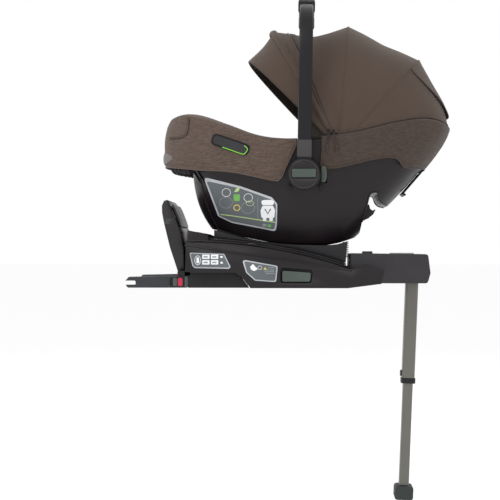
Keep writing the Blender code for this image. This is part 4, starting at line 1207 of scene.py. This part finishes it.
def vent_flap():
    """A second layer over the upper rear, raised along its curved lower edge, with a dark sheet beneath that edge as
    its painted shadow.
    """
    start = first_turn(REAR_BOW[0], canopy_reach(REAR_BOW[0]), 0.006)
    side = (math.radians(56.6) - start) / (math.pi - 2 * start)

    def edge(u):
        along = abs(2 * u - 1)
        return 0.86 * (1 - along**2.2) ** 0.75 + 0.02

    def place(u, v):
        at = side + (1 - 2 * side) * u
        deep = edge(u) * v
        raised = 0.0026 + 0.0050 * v**3 * (1 - abs(2 * u - 1) ** 3)
        return rear_point(at, deep, raised)

    flap = grid("vent_flap", place, 96, 28, "canopy_cloth", -0.0012, body="carrier", slot="canopy_fabric")
    declare_cloth(flap)

    # A dark sheet just under the flap's edge, in the lining colour: painted shadow of the raised edge.
    def shade_sheet_place(u, v):
        u = 0.03 + 0.94 * u
        return rear_point(side + (1 - 2 * side) * u, edge(u) * (0.15 + 0.87 * v), 0.0012)

    shade_sheet = grid("vent_shade_sheet", shade_sheet_place, 96, 20, "lining", -0.0006, body="carrier")
    declare_cloth(shade_sheet)
    line = [place(k / 120, 1.0) for k in range(121)]
    pipe("vent_binding", line, 0.0014, "binding", "carrier")


# Carry handle and hubs


def handle_tube(name, first, last, size, count, paint, **more):
    """A rounded bar along a stretch of the handle's line, leaning a little about its axis."""
    wide, deep = size
    ring = rounded([(-wide, -deep), (wide, -deep), (wide, deep), (-wide, deep)], min(size) * 0.42, 5)
    vertices = []
    for k in range(count + 1):
        share = first + (last - first) * k / count
        y, z = handle_line(share)
        y0, z0 = handle_line(max(share - 0.004, 0.0))
        y1, z1 = handle_line(min(share + 0.004, 1.0))
        along = Vector((0.0, y1 - y0, z1 - z0)).normalized()
        out = Vector((0.0, -along.z, along.y))
        for u, v in ring:
            vertices.append(Vector((u, y, z)) + out * v)
    n = len(ring)
    faces = quads(n, count) + [tuple(range(n))[::-1], tuple(range(count * n, count * n + n))]
    made = place_mesh(name, closed_mesh(name, vertices, faces), paint, **more)
    x, z = HANDLE_AXIS
    turn = Matrix.Translation((x, 0, z)) @ Matrix.Rotation(HANDLE_LEAN, 4, "Y") @ Matrix.Translation((-x, 0, -z))
    made.data.transform(turn)
    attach(made, "handle")


def lathe(name, profile, side, paint, count=72):
    """A profile of (radius, depth) turned about the handle's axis; depth grows outwards."""
    vertices = [
        (x, side * depth, z) for radius, depth in profile for x, z in ellipse(*HANDLE_AXIS, radius, radius, count)
    ]
    last = (len(profile) - 1) * count
    faces = quads(count, len(profile) - 1) + [tuple(range(count))[::-1], tuple(range(last, last + count))]
    place_mesh(name, closed_mesh(name, vertices, faces), paint, "handle", flat_angle=28.0)


def handle():
    handle_tube("handle_arch", 0.0, 1.0, (0.0152, 0.0100), 150, "handle", replaces=["handle_frame"], slot="soft_black")
    handle_tube("handle_grip_sleeve", 0.385, 0.615, (0.0182, 0.0130), 60, "grip", replaces=["handle_grip"],
                slot="soft_black")
    for name, first, way in (("right", 0.385, 1), ("left", 0.615, -1)):
        for k in range(4):
            at = first + way * (0.0040 + 0.0046 * k)
            handle_tube(f"grip_rib_{name}_{k}", at, at + way * 0.0020, (0.0190, 0.0138), 2, "grip")
    disc = [(0.0300, 0.1895), (0.0346, 0.1895), (0.0356, 0.1905), (0.0362, 0.1935), (0.0362, 0.2075),
            (0.0356, 0.2098), (0.0340, 0.2110), (0.0200, 0.2110)]
    rim = [(0.0345, 0.2105), (0.0350, 0.2118), (0.0342, 0.2130), (0.0330, 0.2132), (0.0300, 0.2116),
           (0.0200, 0.2113)]
    for name, side in SIDES:
        ends = (0.0310, 0.0613) if side < 0 else (0.9690, 0.9387)
        handle_tube(f"handle_sleeve_{name}", *ends, (0.0164, 0.0112), 10, "sleeve")
        lathe(f"hub_disc_{name}", disc, side, "hub")
        lathe(f"hub_ring_{name}", rim, side, "ring")
        refined(f"hub_cap_{name}", "hub", 0.0010)
        loop = [(x, side * 0.2171, z) for x, z in ellipse(*HANDLE_AXIS, 0.0305, 0.0305, 72)]
        pipe(f"hub_bead_{name}", loop, 0.0007, "sleeve", "handle", closed=True, sides=8)
        groove = rectangle(-0.0245, 0.2428, 0.0245, 0.2442, 0.0006)
        side_plate(f"hub_groove_{name}", groove, side, 0.2165, 0.2178, "ring", "handle", bevel=0.0003)
        refined(f"handle_button_{name}", "green", 0.0008)
        refined(f"adapter_button_{name}", "green", 0.0008)
        for k in range(4):
            z = 0.2425 + 0.0062 * k
            side_plate(f"adapter_rib_{name}_{k}", rectangle(0.0400, z, 0.0485, z + 0.0016, 0.0006), side,
                       0.1872, 0.1884, "green", f"adapter_button_{name}", bevel=0.0004)


# Labels: generic pictograms on slate plates


def seat_sign(x, z, size, lift, wide=1.15):
    """A little sign of a seat: a headrest over a hollowed body on two feet."""

    def mirrored(*points):
        return [(x + u * size, z + v * size) for u, v in [(-u, v) for u, v in points] + list(reversed(points))]

    head = rounded(mirrored((0.42, 0.55), (0.50, 0.90), (0.30, 1.00)), 0.12 * size, 4)
    body = rounded(mirrored((0.40, 0.50), (0.55, 0.10), (0.50, -0.55)), 0.14 * size, 4)
    feet = [
        rectangle(x + u * size, z - 0.82 * size, x + w * size, z - 0.50 * size, 0.05 * size)
        for u, w in ((-0.38, -0.12), (0.12, 0.38))
    ]
    dip = [(x + u * size, z + v * size) for u, v in ((-0.22, 0.22), (0.0, -0.20), (0.22, 0.22))]
    shapes = [(outline, "ink_white", lift) for outline in (head, body, *feet)]
    shapes.append((ribbon(dip, 0.09 * size), "label", lift + 0.0003))
    return [([(x + (u - x) * wide, v) for u, v in outline], ink, at) for outline, ink, at in shapes]


def ring_sign(x, z, a, b, paint, lift, width=0.0011):
    points = ellipse(x, z, a, b, 28)
    arcs = [points[k:k + 8] for k in (0, 7, 14)] + [points[21:] + points[:1]]
    return [(ribbon(arc, width), paint, lift) for arc in arcs]


def shell_label():
    """The large label on the carrier's side: rings, a seat, a box, a drop and a line along its foot."""
    face, top = 0.0010, 0.0013
    outer = rounded([(-0.2300, 0.2525), (-0.1413, 0.2283), (-0.0720, 0.2035), (-0.0600, 0.1890), (-0.0612, 0.1455),
                     (-0.0640, 0.1275), (-0.1640, 0.1472), (-0.1965, 0.1625), (-0.2215, 0.2290)], 0.0065, 5)
    inner = rounded([(-0.2235, 0.2430), (-0.1420, 0.2235), (-0.0740, 0.1985), (-0.0632, 0.1870), (-0.0642, 0.1480),
                     (-0.0672, 0.1315), (-0.1645, 0.1505), (-0.1925, 0.1635), (-0.2165, 0.2270)], 0.0060, 5)
    band = ribbon([(-0.1905, 0.1668), (-0.1640, 0.1632), (-0.0650, 0.1478)], 0.0020)
    shapes = [(outer, "label_edge", 0.0002), (inner, "label", 0.0006), (band, "ink_pale", face)]
    shapes += seat_sign(-0.0815, 0.1720, 0.0258, face)
    for x, z in ((-0.1760, 0.2060), (-0.1255, 0.1935)):
        shapes += ring_sign(x, z + 0.0095, 0.0098, 0.0090, "ink_white", face)
        shapes += ring_sign(x - 0.0010, z - 0.0130, 0.0150, 0.0125, "ink_grey", face, 0.0012)
    shapes += ring_sign(-0.1215, 0.1905, 0.0085, 0.0055, "ink_pale", top, 0.0010)
    drop = rounded([(-0.1590, 0.2150), (-0.1475, 0.2175), (-0.1430, 0.2270), (-0.1520, 0.2245)], 0.002, 3)
    box = rounded([(-0.1590, 0.1960), (-0.1450, 0.1960), (-0.1440, 0.2110), (-0.1590, 0.2110)], 0.003, 3)
    return shapes + [
        (drop, "ink_pale", face), (box, "ink_green", face),
        (ellipse(-0.1520, 0.1810, 0.0080, 0.0072, 20), "ink_yellow", face),
        (ellipse(-0.1520, 0.1810, 0.0060, 0.0052, 20), "label", top),
        (rectangle(-0.1045, 0.1560, -0.1035, 0.2030, 0.0003), "ink_grey", face),
        (rectangle(-0.0940, 0.1385, -0.0850, 0.1445, 0.0008), "ink_grey", face),
        (rectangle(-0.0820, 0.1370, -0.0745, 0.1430, 0.0008), "ink_green", face),
    ]


def back_label():
    """The base's rear label: a ringed bottle shape, four blocks and two dots."""
    face, top = 0.0008, 0.0011
    outer = rounded([(-0.2554, 0.0794), (-0.1780, 0.0767), (-0.1635, 0.0480), (-0.1670, 0.0435), (-0.2434, 0.0451),
                     (-0.2488, 0.0497)], 0.003, 4)
    inner = rounded([(-0.2535, 0.0778), (-0.1795, 0.0752), (-0.1665, 0.0488), (-0.1685, 0.0462), (-0.2425, 0.0472),
                     (-0.2468, 0.0507)], 0.003, 4)
    shapes = [(outer, "label_edge", 0.0002), (inner, "label", 0.0005)]
    shapes += ring_sign(-0.2370, 0.0625, 0.0065, 0.0100, "ink_white", face)
    bottle = [(-0.2400, 0.0560), (-0.2330, 0.0560), (-0.2345, 0.0690), (-0.2395, 0.0690)]
    shapes.append((rounded(bottle, 0.002, 3), "ink_white", face))
    for x in (-0.2270, -0.2075):
        for z in (0.0655, 0.0530):
            shapes.append((rectangle(x, z, x + 0.0165, z + 0.0098, 0.0012), "ink_white", face))
            shapes.append((rectangle(x + 0.003, z + 0.003, x + 0.0125, z + 0.0062, 0.0010), "ink_grey", top))
    dots = ((-0.1840, 0.0700), (-0.1835, 0.0570))
    return shapes + [(ellipse(x, z, 0.0032, 0.0022, 14), "ink_white", face) for x, z in dots]


def middle_label():
    """The base's middle label: a leaf, a ring, a warning triangle and bars."""
    face = 0.0008
    outer = rounded([(-0.1370, 0.0605), (-0.1310, 0.0630), (-0.0584, 0.0500), (-0.0620, 0.0140), (-0.1090, 0.0172),
                     (-0.1290, 0.0350)], 0.0050, 5)
    inner = rounded([(-0.1330, 0.0585), (-0.1290, 0.0600), (-0.0612, 0.0478), (-0.0645, 0.0165), (-0.1080, 0.0195),
                     (-0.1265, 0.0360)], 0.0045, 5)
    leaf = rounded([(-0.1200, 0.0480), (-0.1140, 0.0545), (-0.1080, 0.0480), (-0.1020, 0.0430), (-0.1110, 0.0385),
                    (-0.1180, 0.0420)], 0.002, 4)
    triangle = [(-0.0905, 0.0415), (-0.0865, 0.0475), (-0.0825, 0.0415)]
    bars = ((0.0450, -0.0800), (0.0400, -0.0880), (0.0360, -0.0880), (0.0320, -0.0850))
    shapes = [(outer, "label_edge", 0.0002), (inner, "label", 0.0005), (leaf, "ink_white", face)]
    shapes += ring_sign(-0.0980, 0.0460, 0.0045, 0.0040, "ink_white", face, 0.0008)
    shapes.append((triangle, "ink_yellow", face))
    return shapes + [(rectangle(x, z, -0.0660, z + 0.0018, 0.0005), "ink_grey", face) for z, x in bars]


def labels():
    for name, side in SIDES:
        def on_shell(x, z, lift, side=side):
            return wall_point(x, z, side, lift)

        def on_base(x, z, lift, side=side):
            return Vector((x, side * (COVER_FACE + lift), z))

        drape(f"shell_label_{name}", shell_label(), on_shell, "carrier", step=0.007, thickness=0.0003)
        drape(f"base_label_back_{name}", back_label(), on_base, "base", step=0.05, thickness=0.0003)
        drape(f"base_label_mid_{name}", middle_label(), on_base, "base", step=0.05, thickness=0.0003)


# Base, rebound panel and leg


def rebound_cushion():
    """A soft padded face on the rebound panel, with a rolled edge and two sewn lines."""

    def place(u, v):
        z = 0.139 + 0.050 * v
        front = -0.2738 - (z - 0.1180) * 0.385
        edge = (1 - abs(2 * u - 1) ** 10) ** 0.5 * (1 - abs(2 * v - 1) ** 3) ** 0.7
        tucks = sum(math.exp(-((u - at) / 0.006) ** 2) for at in (0.30, 0.70))
        return Vector((front - 0.0006 + 0.0030 * edge - 0.0012 * tucks * edge, (u - 0.5) * 0.214, z))

    cushion = grid("rebound_cushion", place, 80, 16, "cushion", 0.0022, body="base", replaces=["rebound_pad"],
                   ease=0.0006)


def base():
    for nodes, paint, width in (
        (("side_cover_right", "side_cover_left"), "casing", 0.0022), (("base_deck",), "casing", 0.0009),
        (("base_tray",), "casing", 0.0008), (("rebound_panel",), "leather", 0.0030),
        (("recline_cradle",), "cradle", 0.0012), (("slide_rail_right", "slide_rail_left"), "cradle", 0.0008),
        (("leg_housing",), "housing", 0.0025), (("connector_right", "connector_left"), "connector", 0.0005),
        (("release_lever",), "soft_black", 0.0009),
    ):
        for node in nodes:
            soft = node.startswith(("connector", "release"))
            refined(node, paint, width, slot="soft_black" if soft else "black_plastic")
    ridge = [(-0.2640, 0.0962), (-0.1895, 0.0838), (-0.1080, 0.0733), (-0.0090, 0.0578), (0.0160, 0.0518),
             (0.1060, 0.0392)]
    for name, side in SIDES:
        line = [(x, side * (COVER_FACE + 0.0002), z) for x, z in smooth_path(ridge, 60)]
        pipe(f"cover_crease_{name}", line, 0.0010, "cradle", "base", flat=0.6)
        for k in range(9):
            z = 0.0690 + 0.0042 * k
            if z >= rail_height(0.09) + 0.006:
                side_plate(f"cradle_tooth_{name}_{k}", rectangle(0.0940, z, 0.1005, z + 0.0022, 0.0008), side, 0.1000,
                           0.1285, "cradle", "cradle", bevel=0.0004)
    shade_strips_and_guides()
    for paint, *nodes in (
        ("cushion", "rebound_pad"),
        ("soft_black", "arm_guide_right", "arm_guide_left", "bow_rear", "bow_mid", "bow_front", "buckle",
         "leg_collar"),
        ("steel", "anchor_arm_right", "anchor_arm_left", "anchor_jaw_right", "anchor_jaw_left", "dock_bar",
         "dock_latch", "leg_pin"),
        ("green", "anchor_key_right", "anchor_key_left", "recline_key", "leg_button"),
        ("red", "anchor_tab_right", "anchor_tab_left", "buckle_button"),
        ("alloy", "leg_outer_tube", "leg_inner_tube"), ("rubber", "leg_foot"), ("lens", "level_window"),
    ):
        repaint(paint, *nodes)


def shade_strips_and_guides():
    """Near-black strips that fill the gaps under the carrier and along the recline rails with painted shade, and dark
    strips round the connector arms.
    """
    count = 60
    runs = [-0.199 + 0.291 * k / count for k in range(count + 1)]

    def sole_gap(x):
        return sole_height(x) - 0.0028 + 0.0030 * min(max((-0.09 - x) / 0.10, 0.0), 1.0)

    # These three strips are painted near-black as the shade in the gaps they fill.
    for name, height, low, high, body, half in (
        ("cradle_pad", None, -0.0110, 0.0, "cradle", 0.095),
        ("cradle_skirt", rail_height, 0.0006, 0.0072, "cradle", 0.119),
        ("rail_seal", rail_height, -0.0072, 0.0002, "base", 0.120),
    ):
        under, over = (height, height) if height else (sole_height, sole_gap)
        outline = [(x, under(x) + low) for x in runs] + [(x, over(x) + high) for x in reversed(runs)]
        plate(name, outline, -half, half, "ring", body)
    for name, side in SIDES:
        for part, corners, near, far, paint, radius, body, bevel in (
            ("guide_cap", (-0.2680, 0.0275, -0.2560, 0.0390), 0.1225, 0.1575, "soft_black", 0.001, "base", 0.0006),
            ("guide_lip", (-0.2840, 0.0277, -0.2560, 0.0388), 0.1482, 0.1575, "soft_black", 0.001, "base", 0.0006),
            ("deck_bridge", (-0.2205, 0.0950, -0.2035, 0.1130), 0.1300, 0.1345, "ring", 0.001, "base", 0.0),
            ("guide_top", (-0.2600, 0.0330, -0.1243, 0.0385), 0.1225, 0.1575, "soft_black", 0.001, "base", 0.0),
            ("connector_gate", (-0.2676, 0.0012, -0.2606, 0.0266), 0.1252, 0.1548, "green", 0.0012, f"anchor_{name}",
             0.0006),
        ):
            side_plate(f"{part}_{name}", rectangle(*corners, radius), side, near, far, paint, body, bevel=bevel)
        face = 0.1535
        for part, shape, paint, lift in (
            ("frame", rounded([(-0.3480, 0.0040), (-0.3480, 0.0235), (-0.3050, 0.0242), (-0.3050, 0.0038)], 0.002, 3),
             "connector", 0.0007),
            ("window", rectangle(-0.3020, 0.0030, -0.2695, 0.0243, 0.0035), "ring", 0.0008),
            ("sign_green", rectangle(-0.2945, 0.0045, -0.2850, 0.0228, 0.0030), "green", 0.0015),
            ("sign_red", rectangle(-0.2832, 0.0045, -0.2728, 0.0228, 0.0035), "red", 0.0019),
        ):
            side_plate(f"connector_{part}_{name}", shape, side, face - 0.001, face + lift, paint, f"anchor_{name}",
                       bevel=0.0004)


def stage():
    """A plain pale floor, three soft lights and the camera."""
    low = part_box("leg_foot")[0].z - LEG_DROP
    vertices = [(x * FLOOR_HALF, y * FLOOR_HALF, low) for x, y in ((-1, -1), (1, -1), (1, 1), (-1, 1))]
    mesh = built_mesh("studio_floor", vertices, [(0, 1, 2, 3)])
    floor = bpy.data.objects.new("studio_floor", mesh)
    bpy.context.scene.collection.objects.link(floor)
    mesh.shade_smooth()
    paper = Paint("studio_paper", (0.97, 0.97, 0.97), 1.0, Specular_IOR_Level=0.0)
    paper.paint("Base Color", paper.mix(paper.noise(3.0), (0.968, 0.968, 0.968), (0.975, 0.975, 0.975)))
    mesh.materials.append(paper.made)

    world = bpy.data.worlds.new("studio")
    bpy.context.scene.world = world
    world.use_nodes = True
    world.node_tree.nodes["Background"].inputs[0].default_value = (1.0, 1.0, 1.0, 1.0)
    world.node_tree.nodes["Background"].inputs[1].default_value = 1.0

    def light(name, place, aim, size, power):
        data = bpy.data.lights.new(name, "AREA")
        data.shape, data.size, data.size_y, data.energy = "RECTANGLE", size[0], size[1], power
        lamp = bpy.data.objects.new(name, data)
        lamp.location = place
        lamp.rotation_euler = (Vector(aim) - Vector(place)).to_track_quat("-Z", "Y").to_euler()
        bpy.context.scene.collection.objects.link(lamp)

    light("key", (-1.3, -2.2, 2.3), (0.0, 0.0, 0.2), (1.6, 1.2), 24)
    light("fill", (2.4, -1.8, 1.0), (0.0, 0.0, 0.1), (1.4, 1.8), 3)
    light("back", (0.2, 2.0, 2.6), (0.0, 0.3, 0.0), (3.0, 1.4), 24)

    eye = bpy.data.cameras.new("camera")
    eye.sensor_width, eye.lens, eye.clip_end = 36.0, 104.2, 100.0
    camera = bpy.data.objects.new("camera", eye)
    camera.location = (0.0, -3.4, 0.0854)
    camera.rotation_euler = (Vector((-0.1269, 0.0, 0.0854)) - camera.location).to_track_quat("-Z", "Y").to_euler()
    bpy.context.scene.collection.objects.link(camera)
    bpy.context.scene.camera = camera
    bpy.context.scene.view_settings.view_transform = "Standard"


carrier_shell()
seat_cover("cover_head", True, 0.0, 88.0)
seat_cover("cover_foot", False, 180.0, 88.2)
cover_details()
seat_pad()
head_shade_panels()
harness()
canopy()
handle()
labels()
base()
rebound_cushion()
stage()
